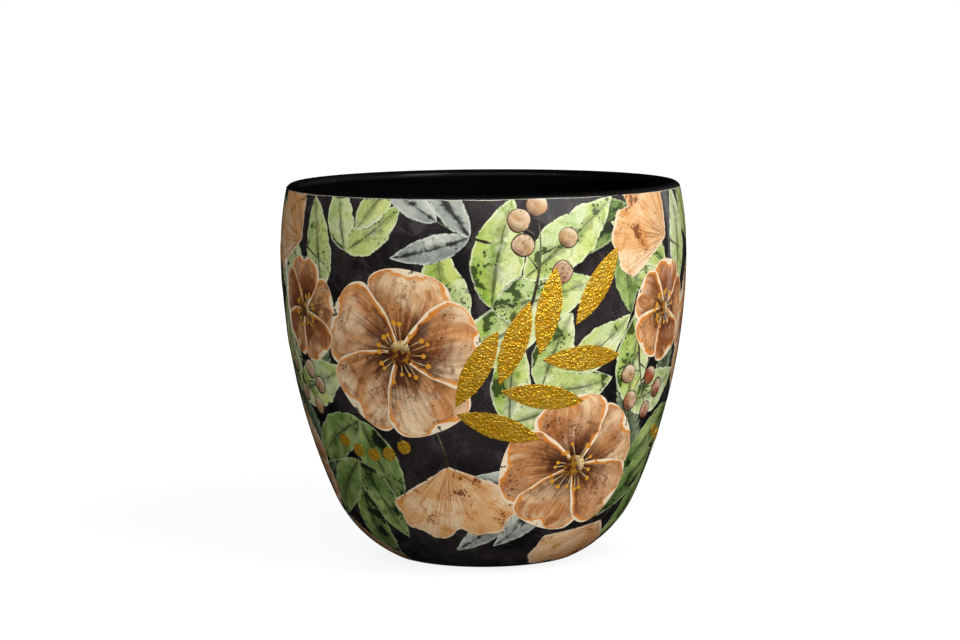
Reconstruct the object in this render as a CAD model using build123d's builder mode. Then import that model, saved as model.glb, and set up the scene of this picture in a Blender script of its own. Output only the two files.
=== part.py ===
"""Cachepot: a round-bellied slip-cast pot with a black lining, a printed outside and gold foil leaves.

Millimetres, +Z up. The origin is the centre of the plane that the pot stands on.
"""

import os
from math import asin, atan2, cos, degrees, dist, pi, radians, sin, sqrt

from build123d import *

# Outline of the pot, measured from the underside of its foot ring
POT_HEIGHT = 184.0
BELLY_DIAMETER = 200.0
SHOULDER_HEIGHT = 33.0
SHOULDER_RADIUS = 150.0
FOOT_DIAMETER = 92.0
FOOT_SLOPE = 26.0
HEEL_HEIGHT = 30.0

# Thickness of the shell, its coats and its foot
WALL_THICKNESS = 7.0
FLOOR_THICKNESS = 7.5
LINING_THICKNESS = 0.5
PRINT_THICKNESS = 0.4
FOOT_RING_WIDTH = 9.0
FOOT_RECESS = 2.0
FOOT_ROUND = 0.8

# Black lining on the outside of the lip: how far its edge lies down the round from the crest
LIP_PAINT_TURN = 60.0

# Felt pads in the recess inside the foot ring
PAD_COUNT = 4
PAD_AZIMUTH = 45.0
PAD_DIAMETER = 12.0
PAD_STAND_OFF = 0.8
PAD_EDGE_GAP = 5.0
PAD_ROUND = 0.4

# Gold foil sprigs: willow leaves in pairs along a curved stem line, with one leaf at the tip
FOIL_THICKNESS = 0.15
SPRIG_COUNT = 3
SPRIG_AZIMUTH = -52.0
SPRIG_TIP_RISE = 8.0
SPRIG_TIP_HEADING = 65.0
SPRIG_STEM_RADIUS = 150.0
LEAF_PAIRS = 3
LEAF_LENGTH = 42.0
LEAF_WIDTH = 12.0
LEAF_GAP = 3.5
LEAF_SPREAD = 40.0
STEM_GAP = 2.5

# Gold foil dots in a curved row, lower down on the other side of each sprig
DOT_COUNT = 5
DOT_DIAMETER = 7.0
DOT_GAP = 4.0
DOT_ROW_RADIUS = 45.0
DOT_ROW_AZIMUTH = -128.0
DOT_ROW_DROP = 92.0

# Heights of the foot ring, the belly line and the floor
foot_level = PAD_STAND_OFF
recess_level = foot_level + FOOT_RECESS
floor_level = recess_level + FLOOR_THICKNESS
crest_level = foot_level + POT_HEIGHT
belly_level = crest_level - SHOULDER_HEIGHT
belly_radius = BELLY_DIAMETER / 2

# Heel arc and side arc: they meet in one tangent at the heel height
foot_point = (FOOT_DIAMETER / 2, foot_level)
belly_point = (belly_radius, belly_level)
foot_heading = radians(FOOT_SLOPE)
half_turn = (pi / 2 - foot_heading) / 2
chord_heading = atan2(belly_level - foot_level, belly_radius - foot_point[0])
meeting_radius = dist(foot_point, belly_point) / (2 * sin(half_turn))
meeting_heading = chord_heading - half_turn
meeting_x = foot_point[0] - meeting_radius * sin(meeting_heading)
meeting_z = foot_level + meeting_radius * cos(meeting_heading)
joint_level = foot_level + HEEL_HEIGHT
joint_point = (meeting_x + sqrt(meeting_radius**2 - (joint_level - meeting_z) ** 2), joint_level)
joint_heading = 2 * atan2(HEEL_HEIGHT, joint_point[0] - foot_point[0]) - foot_heading
heel_radius = dist(foot_point, joint_point) / (2 * sin((joint_heading - foot_heading) / 2))
side_radius = dist(joint_point, belly_point) / (2 * sin((pi / 2 - joint_heading) / 2))
heel_centre = (
    foot_point[0] - heel_radius * sin(foot_heading),
    foot_level + heel_radius * cos(foot_heading),
)
side_centre = (belly_radius - side_radius, belly_level)
joint_angle = degrees(joint_heading) - 90

# Shoulder arc and the half-round lip on top of it
lip_radius = WALL_THICKNESS / 2
shoulder_centre = (belly_radius - SHOULDER_RADIUS, belly_level)
lip_angle = degrees(asin((SHOULDER_HEIGHT - lip_radius) / (SHOULDER_RADIUS - lip_radius)))
lip_centre = (
    shoulder_centre[0] + (SHOULDER_RADIUS - lip_radius) * cos(radians(lip_angle)),
    crest_level - lip_radius,
)
paint_angle = 90 - LIP_PAINT_TURN


def heel_start(inset, level):
    """Angle at which the heel arc, moved in by an inset, crosses a level."""
    return degrees(asin((level - heel_centre[1]) / (heel_radius - inset)))


def heel_crossing(inset, level):
    """Point at which the heel arc, moved in by an inset, crosses a level."""
    angle = radians(heel_start(inset, level))
    return (heel_centre[0] + (heel_radius - inset) * cos(angle), level)


def shoulder_end(inset):
    """Point at which the shoulder arc, moved in by an inset, meets the lip."""
    radius = SHOULDER_RADIUS - inset
    angle = radians(lip_angle)
    return (shoulder_centre[0] + radius * cos(angle), shoulder_centre[1] + radius * sin(angle))


def wall_arcs(inset, level):
    """Heel, side and shoulder arcs, moved in by an inset, from a level up to the lip."""
    start = heel_start(inset, level)
    CenterArc(heel_centre, heel_radius - inset, start, joint_angle - start)
    CenterArc(side_centre, side_radius - inset, joint_angle, -joint_angle)
    CenterArc(shoulder_centre, SHOULDER_RADIUS - inset, 0, lip_angle)


def lip_point(reach):
    """Point on the line across the lip at which the lining ends and the print starts."""
    angle = radians(paint_angle)
    return (lip_centre[0] + reach * cos(angle), lip_centre[1] + reach * sin(angle))


def paint_line(thickness):
    """Edge of a coat on the outside of the lip."""
    Line(lip_point(lip_radius), lip_point(lip_radius - thickness))


def surface_plane(azimuth, level):
    """Plane on the outside of the pot, its x level and its z along the surface normal."""
    if level < joint_level:
        centre, radius = heel_centre, heel_radius
    elif level < belly_level:
        centre, radius = side_centre, side_radius
    else:
        centre, radius = shoulder_centre, SHOULDER_RADIUS
    tilt = asin((level - centre[1]) / radius)
    reach = centre[0] + radius * cos(tilt)
    turn = radians(azimuth)
    return Plane(
        origin=(reach * cos(turn), reach * sin(turn), level),
        x_dir=(-sin(turn), cos(turn), 0),
        z_dir=(cos(tilt) * cos(turn), cos(tilt) * sin(turn), sin(tilt)),
    )


# Printed film outside, from the foot ring over the shoulder to the black edge on the lip
with BuildPart() as printed_wrap:
    with BuildSketch(Plane.YZ) as print_section:
        with BuildLine():
            wall_arcs(0, foot_level)
            wall_arcs(PRINT_THICKNESS, foot_level)
            CenterArc(lip_centre, lip_radius, lip_angle, paint_angle - lip_angle)
            CenterArc(lip_centre, lip_radius - PRINT_THICKNESS, lip_angle, paint_angle - lip_angle)
            paint_line(PRINT_THICKNESS)
            Line(heel_crossing(PRINT_THICKNESS, foot_level), foot_point)
        make_face()
    revolve(axis=Axis.Z)

# Black lining, from its edge on the lip over the crest, down the inside and over the floor
lining_back = WALL_THICKNESS - LINING_THICKNESS
lip_turn = 180 + lip_angle - paint_angle
floor_back = floor_level - LINING_THICKNESS
with BuildPart() as inner_lining:
    with BuildSketch(Plane.YZ) as lining_section:
        with BuildLine():
            wall_arcs(WALL_THICKNESS, floor_level)
            wall_arcs(lining_back, floor_back)
            CenterArc(lip_centre, lip_radius, paint_angle, lip_turn)
            CenterArc(lip_centre, lip_radius - LINING_THICKNESS, paint_angle, lip_turn)
            paint_line(LINING_THICKNESS)
            Line(heel_crossing(WALL_THICKNESS, floor_level), (0, floor_level))
            Line((0, floor_level), (0, floor_back))
            Line((0, floor_back), heel_crossing(lining_back, floor_back))
        make_face()
    revolve(axis=Axis.Z)

# Cast shell between the two coats, with a foot ring round the recess under its floor.
# Its two rounds share the wall of the recess.
ring_inside = FOOT_DIAMETER / 2 - FOOT_RING_WIDTH
foot_round = min(FOOT_ROUND, 0.45 * FOOT_RECESS)
with BuildPart() as ceramic_body:
    with BuildSketch(Plane.YZ):
        with BuildLine():
            wall_arcs(0, foot_level)
            CenterArc(lip_centre, lip_radius, lip_angle, 180)
            wall_arcs(WALL_THICKNESS, floor_level)
            Line(heel_crossing(WALL_THICKNESS, floor_level), (0, floor_level))
            Line((0, floor_level), (0, recess_level))
            FilletPolyline(
                (0, recess_level),
                (ring_inside, recess_level),
                (ring_inside, foot_level),
                foot_point,
                radius=foot_round,
            )
        make_face()
        add(print_section.sketch_local, mode=Mode.SUBTRACT)
        add(lining_section.sketch_local, mode=Mode.SUBTRACT)
    revolve(axis=Axis.Z)

# Felt pads, stuck to the underside of the floor and standing a little below the foot ring
pad_ring_radius = ring_inside - PAD_EDGE_GAP - PAD_DIAMETER / 2
with BuildPart() as felt_pads:
    with BuildSketch():
        with PolarLocations(pad_ring_radius, PAD_COUNT, start_angle=PAD_AZIMUTH):
            Circle(PAD_DIAMETER / 2)
    extrude(amount=recess_level)
    fillet(felt_pads.faces().group_by(Axis.Z)[0].edges(), PAD_ROUND)

# Foil skin on the print, from which every foil piece is cut
with BuildPart() as foil_skin:
    with BuildSketch(Plane.YZ):
        with BuildLine():
            wall_arcs(0, foot_level)
            wall_arcs(-FOIL_THICKNESS, foot_level)
            Line(foot_point, heel_crossing(-FOIL_THICKNESS, foot_level))
            Line(shoulder_end(0), shoulder_end(-FOIL_THICKNESS))
        make_face()
    revolve(axis=Axis.Z)


def foil_leaf(azimuth, level, heading):
    """One willow leaf of foil, pointed at both ends, centred on a place of the surface."""
    along = (LEAF_LENGTH / 2 * cos(heading), LEAF_LENGTH / 2 * sin(heading))
    across = (-LEAF_WIDTH / 2 * sin(heading), LEAF_WIDTH / 2 * cos(heading))
    tip, side = Vector(*along), Vector(*across)
    with BuildPart() as leaf:
        with BuildSketch(surface_plane(azimuth, level)):
            with BuildLine():
                ThreePointArc(-tip, side, tip)
                ThreePointArc(tip, -side, -tip)
            make_face()
        extrude(amount=LEAF_LENGTH / 2, both=True)
        add(foil_skin.part, mode=Mode.INTERSECT)
    return leaf.part


def foil_dot(azimuth, level):
    """One round dot of foil, centred on a place of the surface."""
    with BuildPart() as dot:
        with BuildSketch(surface_plane(azimuth, level)):
            Circle(DOT_DIAMETER / 2)
        extrude(amount=DOT_DIAMETER, both=True)
        add(foil_skin.part, mode=Mode.INTERSECT)
    return dot.part


def place_from(azimuth, level, x, y):
    """Azimuth and height of a point that lies x to the right of a place and y above it."""
    return (azimuth + degrees(x / belly_radius), level + y)


def stem_point(distance):
    """Place and heading on the stem line, measured back from the tip of the sprig."""
    tip_heading = radians(SPRIG_TIP_HEADING)
    heading = tip_heading - distance / SPRIG_STEM_RADIUS
    x = -SPRIG_STEM_RADIUS * (sin(tip_heading) - sin(heading))
    y = -SPRIG_STEM_RADIUS * (cos(heading) - cos(tip_heading))
    return x, y, heading


def sprig_leaves(azimuth):
    """All leaves of one sprig whose tip is at an azimuth."""
    level = belly_level + SPRIG_TIP_RISE
    x, y, heading = stem_point(LEAF_LENGTH / 2)
    leaves = [foil_leaf(*place_from(azimuth, level, x, y), heading)]
    spread = radians(LEAF_SPREAD)
    pair_spacing = (LEAF_WIDTH + LEAF_GAP) / sin(spread)
    reach = STEM_GAP + LEAF_LENGTH / 2
    for pair in range(1, LEAF_PAIRS + 1):
        x, y, heading = stem_point(LEAF_LENGTH + pair * pair_spacing)
        for leaf_heading in (heading + spread, heading - spread):
            leaf_x = x + reach * cos(leaf_heading)
            leaf_y = y + reach * sin(leaf_heading)
            leaves.append(foil_leaf(*place_from(azimuth, level, leaf_x, leaf_y), leaf_heading))
    return leaves


def dot_row(azimuth):
    """One curved row of dots, hanging like a garland below an azimuth on the belly line."""
    step = (DOT_DIAMETER + DOT_GAP) / DOT_ROW_RADIUS
    dots = []
    for index in range(DOT_COUNT):
        swing = (index - (DOT_COUNT - 1) / 2) * step
        x = DOT_ROW_RADIUS * sin(swing)
        y = DOT_ROW_RADIUS * (1 - cos(swing)) - DOT_ROW_DROP
        dots.append(foil_dot(*place_from(azimuth, belly_level, x, y)))
    return dots


sprig_turns = [360 / SPRIG_COUNT * sprig for sprig in range(SPRIG_COUNT)]
leaf_pieces = [leaf for turn in sprig_turns for leaf in sprig_leaves(SPRIG_AZIMUTH + turn)]
dot_pieces = [dot for turn in sprig_turns for dot in dot_row(DOT_ROW_AZIMUTH + turn)]

with BuildPart() as gold_leaf_patches:
    add(leaf_pieces)

with BuildPart() as gold_dot_patches:
    add(dot_pieces)

os.makedirs("parts", exist_ok=True)
pieces = {
    "ceramic_body": ceramic_body,
    "inner_lining": inner_lining,
    "printed_wrap": printed_wrap,
    "gold_leaf_patches": gold_leaf_patches,
    "gold_dot_patches": gold_dot_patches,
    "felt_pads": felt_pads,
}
for name, piece in pieces.items():
    piece.part.label = name
    export_step(piece.part, f"parts/{name}.step")
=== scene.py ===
"""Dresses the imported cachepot: lacquered botanical print, crinkled gold foil, black lining and felt pads.

Metres, +Z up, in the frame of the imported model. The viewer stands at -Y, with +X to the right.
"""

import logging
import math
import random
from abc import ABC, abstractmethod
from dataclasses import dataclass, field
from enum import Enum
from functools import cached_property
from itertools import chain, pairwise
from typing import Callable, Iterator, Sequence

import bmesh
import bpy
from bpy.types import ID, Material, Mesh, Node, NodeSocket, NodeTree, Object
from mathutils import Color, Matrix, Vector, noise

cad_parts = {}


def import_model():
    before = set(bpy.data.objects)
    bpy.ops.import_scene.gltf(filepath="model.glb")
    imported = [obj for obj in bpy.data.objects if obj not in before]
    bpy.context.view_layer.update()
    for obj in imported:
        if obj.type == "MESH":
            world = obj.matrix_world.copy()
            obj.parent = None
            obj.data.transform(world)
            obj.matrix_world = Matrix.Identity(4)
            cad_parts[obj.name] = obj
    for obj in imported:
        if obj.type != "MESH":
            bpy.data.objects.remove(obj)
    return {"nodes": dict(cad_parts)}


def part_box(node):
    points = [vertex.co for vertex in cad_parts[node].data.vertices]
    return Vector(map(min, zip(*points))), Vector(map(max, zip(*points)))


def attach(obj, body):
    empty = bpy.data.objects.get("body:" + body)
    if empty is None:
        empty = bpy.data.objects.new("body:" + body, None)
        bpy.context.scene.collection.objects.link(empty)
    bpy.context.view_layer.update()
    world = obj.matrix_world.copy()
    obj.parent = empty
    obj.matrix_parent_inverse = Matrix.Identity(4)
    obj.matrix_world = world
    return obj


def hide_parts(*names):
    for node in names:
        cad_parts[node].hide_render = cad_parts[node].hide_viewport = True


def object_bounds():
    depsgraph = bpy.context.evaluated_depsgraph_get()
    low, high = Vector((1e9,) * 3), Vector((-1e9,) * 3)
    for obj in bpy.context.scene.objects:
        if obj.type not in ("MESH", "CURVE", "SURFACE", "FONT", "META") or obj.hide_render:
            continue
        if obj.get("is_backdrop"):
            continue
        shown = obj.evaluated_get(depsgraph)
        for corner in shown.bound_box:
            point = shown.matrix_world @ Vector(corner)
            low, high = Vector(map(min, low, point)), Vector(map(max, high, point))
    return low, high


LOG = logging.getLogger("cachepot")
MM = 0.001
BODY = "root"
FRONT = math.radians(-90.0)
QUARTER = math.pi / 2
SECTORS = 3
SECTOR_TURN = math.tau / SECTORS

Colour = tuple[float, float, float, float]
Flat = tuple[float, float]
Triple = tuple[float, float, float]


def paint(red: int, green: int, blue: int) -> Colour:
    """Linear colour of a paint that is given by its display values from 0 to 255."""
    linear = Color((red / 255, green / 255, blue / 255)).from_srgb_to_scene_linear()
    return (*linear, 1.0)


def spread(count: int) -> list[float]:
    """Evenly spaced shares from 0 to 1."""
    return [i / count for i in range(count + 1)]


def waver(x: float, y: float, z: float) -> float:
    """Smooth noise between -1 and 1."""
    return noise.noise(Vector((x, y, z)))


GROUND_DARK = paint(27, 22, 22)
WHITE = (1.0, 1.0, 1.0, 1.0)


class Side(Enum):
    """The two sides of a stem, as seen from outside the pot."""

    LEFT = 1
    RIGHT = -1


class Mark(Enum):
    """Values that every point of a printed patch carries for its finish."""

    ALONG = "along"
    ACROSS = "across"
    EDGE = "edge_mm"
    SEED = "seed"
    TONE = "tone"


class Layer(Enum):
    """Order in which the motifs are printed, lowest first, with room for patches that overlap."""

    SHADOW_FERN = 0
    FERN = 1
    BACK_STEM = 2
    BACK_LEAF = 3
    FAN = 9
    STEM = 11
    LEAF = 12
    PETAL = 15
    CENTRE = 20
    BERRY = 21

    def height(self, above: int = 0) -> float:
        """Height over the bare surface of a patch that lies some steps above the layer's lowest."""
        lowest, step = 0.015 * MM, 0.007 * MM
        return lowest + step * (self.value + above)


@dataclass(frozen=True)
class Arc:
    """One arc of the outline, in the plane of radius and height."""

    centre_radius: float
    centre_height: float
    radius: float
    start: float
    end: float

    @property
    def length(self) -> float:
        """Length along the arc."""
        return self.radius * (self.end - self.start)

    def at(self, angle: float, inset: float = 0.0) -> Flat:
        """Radius and height at an angle of the arc moved in by an inset."""
        reach = self.radius - inset
        return self.centre_radius + reach * math.cos(angle), self.centre_height + reach * math.sin(angle)

    def steps(self, count: int, inset: float = 0.0, start: float | None = None) -> list[Flat]:
        """Evenly spaced points of the arc.

        Args:
            count: number of spans.
            inset: distance that the arc is moved in.
            start: first angle, where it isn't the arc's own.

        Returns:
            Points of radius and height from the arc's start to its end.
        """
        first = self.start if start is None else start
        return [self.at(first + (self.end - first) * share, inset) for share in spread(count)]


@dataclass
class PotOutline:
    """The pot's outside as heel, side, shoulder and lip arcs, measured along the surface from the foot."""

    foot_level: float
    crest_level: float
    belly_radius: float
    shoulder_height: float = 33.0 * MM
    shoulder_radius: float = 150.0 * MM
    foot_radius: float = 46.0 * MM
    foot_slope: float = math.radians(26.0)
    heel_height: float = 30.0 * MM
    wall: float = 7.0 * MM
    paint_angle: float = math.radians(30.0)
    arcs: list[Arc] = field(init=False)

    @classmethod
    def from_frame(cls) -> "PotOutline":
        """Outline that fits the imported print."""
        low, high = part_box("printed_wrap")
        return cls(foot_level=low.z, crest_level=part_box("inner_lining")[1].z, belly_radius=high.y)

    def __post_init__(self) -> None:
        """Works out the four arcs, each tangent to the next."""
        rise = self.belly_level - self.foot_level
        run = self.belly_radius - self.foot_radius
        half_turn = (QUARTER - self.foot_slope) / 2
        meeting_radius = math.hypot(rise, run) / (2 * math.sin(half_turn))
        meeting_heading = math.atan2(rise, run) - half_turn
        meeting_x = self.foot_radius - meeting_radius * math.sin(meeting_heading)
        meeting_z = meeting_radius * math.cos(meeting_heading)
        joint_x = meeting_x + math.sqrt(meeting_radius**2 - (self.heel_height - meeting_z) ** 2)
        heel_chord = math.hypot(self.heel_height, joint_x - self.foot_radius)
        joint_heading = 2 * math.atan2(self.heel_height, joint_x - self.foot_radius) - self.foot_slope
        heel = heel_chord / (2 * math.sin((joint_heading - self.foot_slope) / 2))
        heel_x = self.foot_radius - heel * math.sin(self.foot_slope)
        heel_z = self.foot_level + heel * math.cos(self.foot_slope)
        side_chord = math.hypot(rise - self.heel_height, self.belly_radius - joint_x)
        side = side_chord / (2 * math.sin((QUARTER - joint_heading) / 2))
        lip = self.wall / 2
        lip_start = math.asin((self.shoulder_height - lip) / (self.shoulder_radius - lip))
        shoulder_x = self.belly_radius - self.shoulder_radius
        lip_x = shoulder_x + (self.shoulder_radius - lip) * math.cos(lip_start)
        self.arcs = [
            Arc(heel_x, heel_z, heel, self.foot_slope - QUARTER, joint_heading - QUARTER),
            Arc(self.belly_radius - side, self.belly_level, side, joint_heading - QUARTER, 0.0),
            Arc(shoulder_x, self.belly_level, self.shoulder_radius, 0.0, lip_start),
            Arc(lip_x, self.crest_level - lip, lip, lip_start, self.paint_angle),
        ]

    @property
    def belly_level(self) -> float:
        """Height of the widest ring."""
        return self.crest_level - self.shoulder_height

    @property
    def length(self) -> float:
        """Length of the printed outside, from the foot to the black edge on the lip."""
        return sum(arc.length for arc in self.arcs)

    def locate(self, along: float) -> Triple:
        """Radius, height and tilt of the surface.

        Args:
            along: distance along the surface from the foot.

        Returns:
            Radius, height, and the angle of the outward normal above level.
        """
        left = along
        for arc in self.arcs:
            if left <= arc.length or arc is self.arcs[-1]:
                angle = arc.start + left / arc.radius
                return (*arc.at(angle), angle)
            left -= arc.length
        raise ValueError("the outline has no arcs")

    def along_at(self, level: float) -> float:
        """Finds where the outside reaches a height.

        Args:
            level: the height.

        Returns:
            Distance along the surface from the foot.
        """
        before = 0.0
        for arc in self.arcs:
            angle = math.asin(max(-1.0, min(1.0, (level - arc.centre_height) / arc.radius)))
            if angle <= arc.end:
                return before + arc.radius * (angle - arc.start)
            before += arc.length
        return before

    def point(self, azimuth: float, along: float, lift: float) -> tuple[Vector, Vector]:
        """Place and outward normal on the pot.

        Args:
            azimuth: angle about the axis, from +X.
            along: distance along the surface from the foot.
            lift: height above the surface.

        Returns:
            The point and its unit normal.
        """
        radius, height, tilt = self.locate(along)
        flat = math.cos(tilt)
        normal = Vector((flat * math.cos(azimuth), flat * math.sin(azimuth), math.sin(tilt)))
        spot = Vector((radius * math.cos(azimuth), radius * math.sin(azimuth), height))
        return spot + normal * lift, normal


@dataclass(frozen=True)
class Spot:
    """A place on the pot's outside with a heading, where a motif is laid out flat and wrapped on."""

    outline: PotOutline
    azimuth: float
    along: float
    heading: float = 0.0

    def wrap(self, ahead: float, left: float) -> Flat:
        """Wraps a flat point of the motif on the pot.

        Args:
            ahead: its distance in the spot's heading.
            left: its distance to the left of that.

        Returns:
            Its azimuth, and its distance along the surface from the foot.
        """
        x = ahead * math.cos(self.heading) - left * math.sin(self.heading)
        y = ahead * math.sin(self.heading) + left * math.cos(self.heading)
        along = self.along + y
        radius = self.outline.locate(min(max(along, 0.0), self.outline.length))[0]
        return self.azimuth + x / radius, along

    def moved(self, ahead: float = 0.0, left: float = 0.0, turn: float = 0.0) -> "Spot":
        """The spot that lies ahead and to the left of this one, turned by an angle."""
        azimuth, along = self.wrap(ahead, left)
        return Spot(self.outline, azimuth, along, self.heading + turn)


@dataclass(frozen=True)
class PatchPoint:
    """One flat point of a motif, with what its finish needs to know."""

    ahead: float
    left: float
    along: float
    across: float
    edge: float


Grid = list[list[PatchPoint]]


def add_object(name: str, data: ID) -> Object:
    """Adds an object to the scene.

    Args:
        name: its name.
        data: its mesh, lamp or camera.

    Returns:
        The object.
    """
    made = bpy.data.objects.new(name, data)
    bpy.context.scene.collection.objects.link(made)
    return made


def settle(mesh: Mesh, material: Material) -> Object:
    """Makes a piece that rides on the pot.

    Args:
        mesh: mesh of the piece, which has its name.
        material: finish of the whole piece.

    Returns:
        The piece.
    """
    mesh.materials.append(material)
    piece = add_object(mesh.name, mesh)
    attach(piece, BODY)
    return piece


@dataclass
class InkFilm:
    """Thin printed patches of one kind, gathered into one closed mesh on the pot."""

    outline: PotOutline
    name: str
    sunk: float = 0.03 * MM
    edge_margin: float = 0.15 * MM
    crease: float = math.radians(60.0)
    corners: list[tuple[Vector, Vector, tuple[float, ...]]] = field(default_factory=list)
    faces: list[tuple[int, ...]] = field(default_factory=list)

    def add(
        self,
        spot: Spot,
        grid: Grid,
        lift: float,
        seed: float,
        tone: float,
        relief: Callable[[Vector], float] | None = None,
    ) -> None:
        """Wraps one patch on the pot, cut off at the foot and at the black edge on the lip.

        Args:
            spot: place and heading of the patch.
            grid: rows of flat points, counter-clockwise as seen from outside; a point that comes back
                closes the patch.
            lift: height of the patch above the surface.
            seed: number that sets its wash apart from the others.
            tone: share from 0 to 1 for the finish to vary its colour by.
            relief: extra height at a place, for foil.
        """
        low, high = self.edge_margin, self.outline.length - self.edge_margin
        order = {point: index for index, point in enumerate(dict.fromkeys(chain(*grid)))}
        cut: list[int] = []
        upper, lower = [], []
        for point in order:
            azimuth, along = spot.wrap(point.ahead, point.left)
            kept = min(max(along, low), high)
            cut.append(-1 if along < low else 1 if along > high else 0)
            place, normal = self.outline.point(azimuth, kept, lift)
            if relief is not None and point.edge > 0:
                place += normal * relief(place)
            marks = (point.along, point.across, point.edge / MM, seed, tone)
            upper.append((place, normal, marks))
            lower.append((self.outline.point(azimuth, kept, -self.sunk)[0], -normal, marks))
        tops: list[tuple[int, ...]] = []
        for row, above in pairwise(grid):
            for ring in zip(row, above, above[1:], row[1:]):
                face = tuple(dict.fromkeys(order[point] for point in ring))
                if abs(sum(cut[k] for k in face)) < len(face):
                    tops.append(face)
        first, shift = len(self.corners), len(order)
        rim = {side for face in tops for side in zip(face, (*face[1:], face[0]))}
        walls = [(b, a, a + shift, b + shift) for a, b in rim if (b, a) not in rim]
        floors = [tuple(k + shift for k in reversed(face)) for face in tops]
        self.corners += upper + lower
        self.faces += [tuple(first + k for k in face) for face in (*tops, *sorted(walls), *floors)]

    def piece(self, material: Material, slot: str, smooth: bool = True) -> Object:
        """Makes the piece from the gathered patches.

        Args:
            material: finish of the whole piece.
            slot: material slot of the record that it belongs to; not used.
            smooth: whether the gloss runs on over the patches as on the bare pot.

        Returns:
            The new object, riding on the pot.
        """
        used = sorted(set(chain(*self.faces)))
        order = {corner: index for index, corner in enumerate(used)}
        places, normals, marks = zip(*(self.corners[corner] for corner in used))
        mesh = bpy.data.meshes.new(self.name)
        mesh.from_pydata(places, [], [[order[corner] for corner in face] for face in self.faces])
        for mark, values in zip(Mark, zip(*marks)):
            mesh.attributes.new(mark.value, "FLOAT", "POINT").data.foreach_set("value", values)
        mesh.shade_smooth()
        if smooth:
            mesh.normals_split_custom_set_from_vertices(normals)
        else:
            mesh.set_sharp_from_angle(angle=self.crease)
        return settle(mesh, material)


def turn_profile(name: str, profile: Sequence[Flat], closed: bool, segments: int) -> Mesh:
    """Turns an outline about the pot's axis.

    Args:
        name: name of the mesh.
        profile: points of radius and height; a radius of zero becomes a pole.
        closed: whether the last point joins the first.
        segments: number of facets round the pot.

    Returns:
        A smooth mesh with outward faces and sharp corners.
    """
    pole, corner = 0.001 * MM, math.radians(35.0)
    turns = [math.tau * k / segments for k in range(segments)]
    shape = bmesh.new()
    rings = []
    for radius, height in profile:
        around = turns if radius > pole else turns[:1]
        rings.append([shape.verts.new((radius * math.cos(t), radius * math.sin(t), height)) for t in around])
    for below, above in pairwise([*rings, rings[0]] if closed else rings):
        for k in range(segments):
            after = (k + 1) % segments
            if len(below) == 1:
                shape.faces.new((below[0], above[k], above[after]))
            elif len(above) == 1:
                shape.faces.new((below[k], below[after], above[0]))
            else:
                shape.faces.new((below[k], below[after], above[after], above[k]))
    bmesh.ops.recalc_face_normals(shape, faces=shape.faces)
    mesh = bpy.data.meshes.new(name)
    shape.to_mesh(mesh)
    shape.free()
    mesh.shade_smooth()
    mesh.set_sharp_from_angle(angle=corner)
    return mesh


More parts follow.
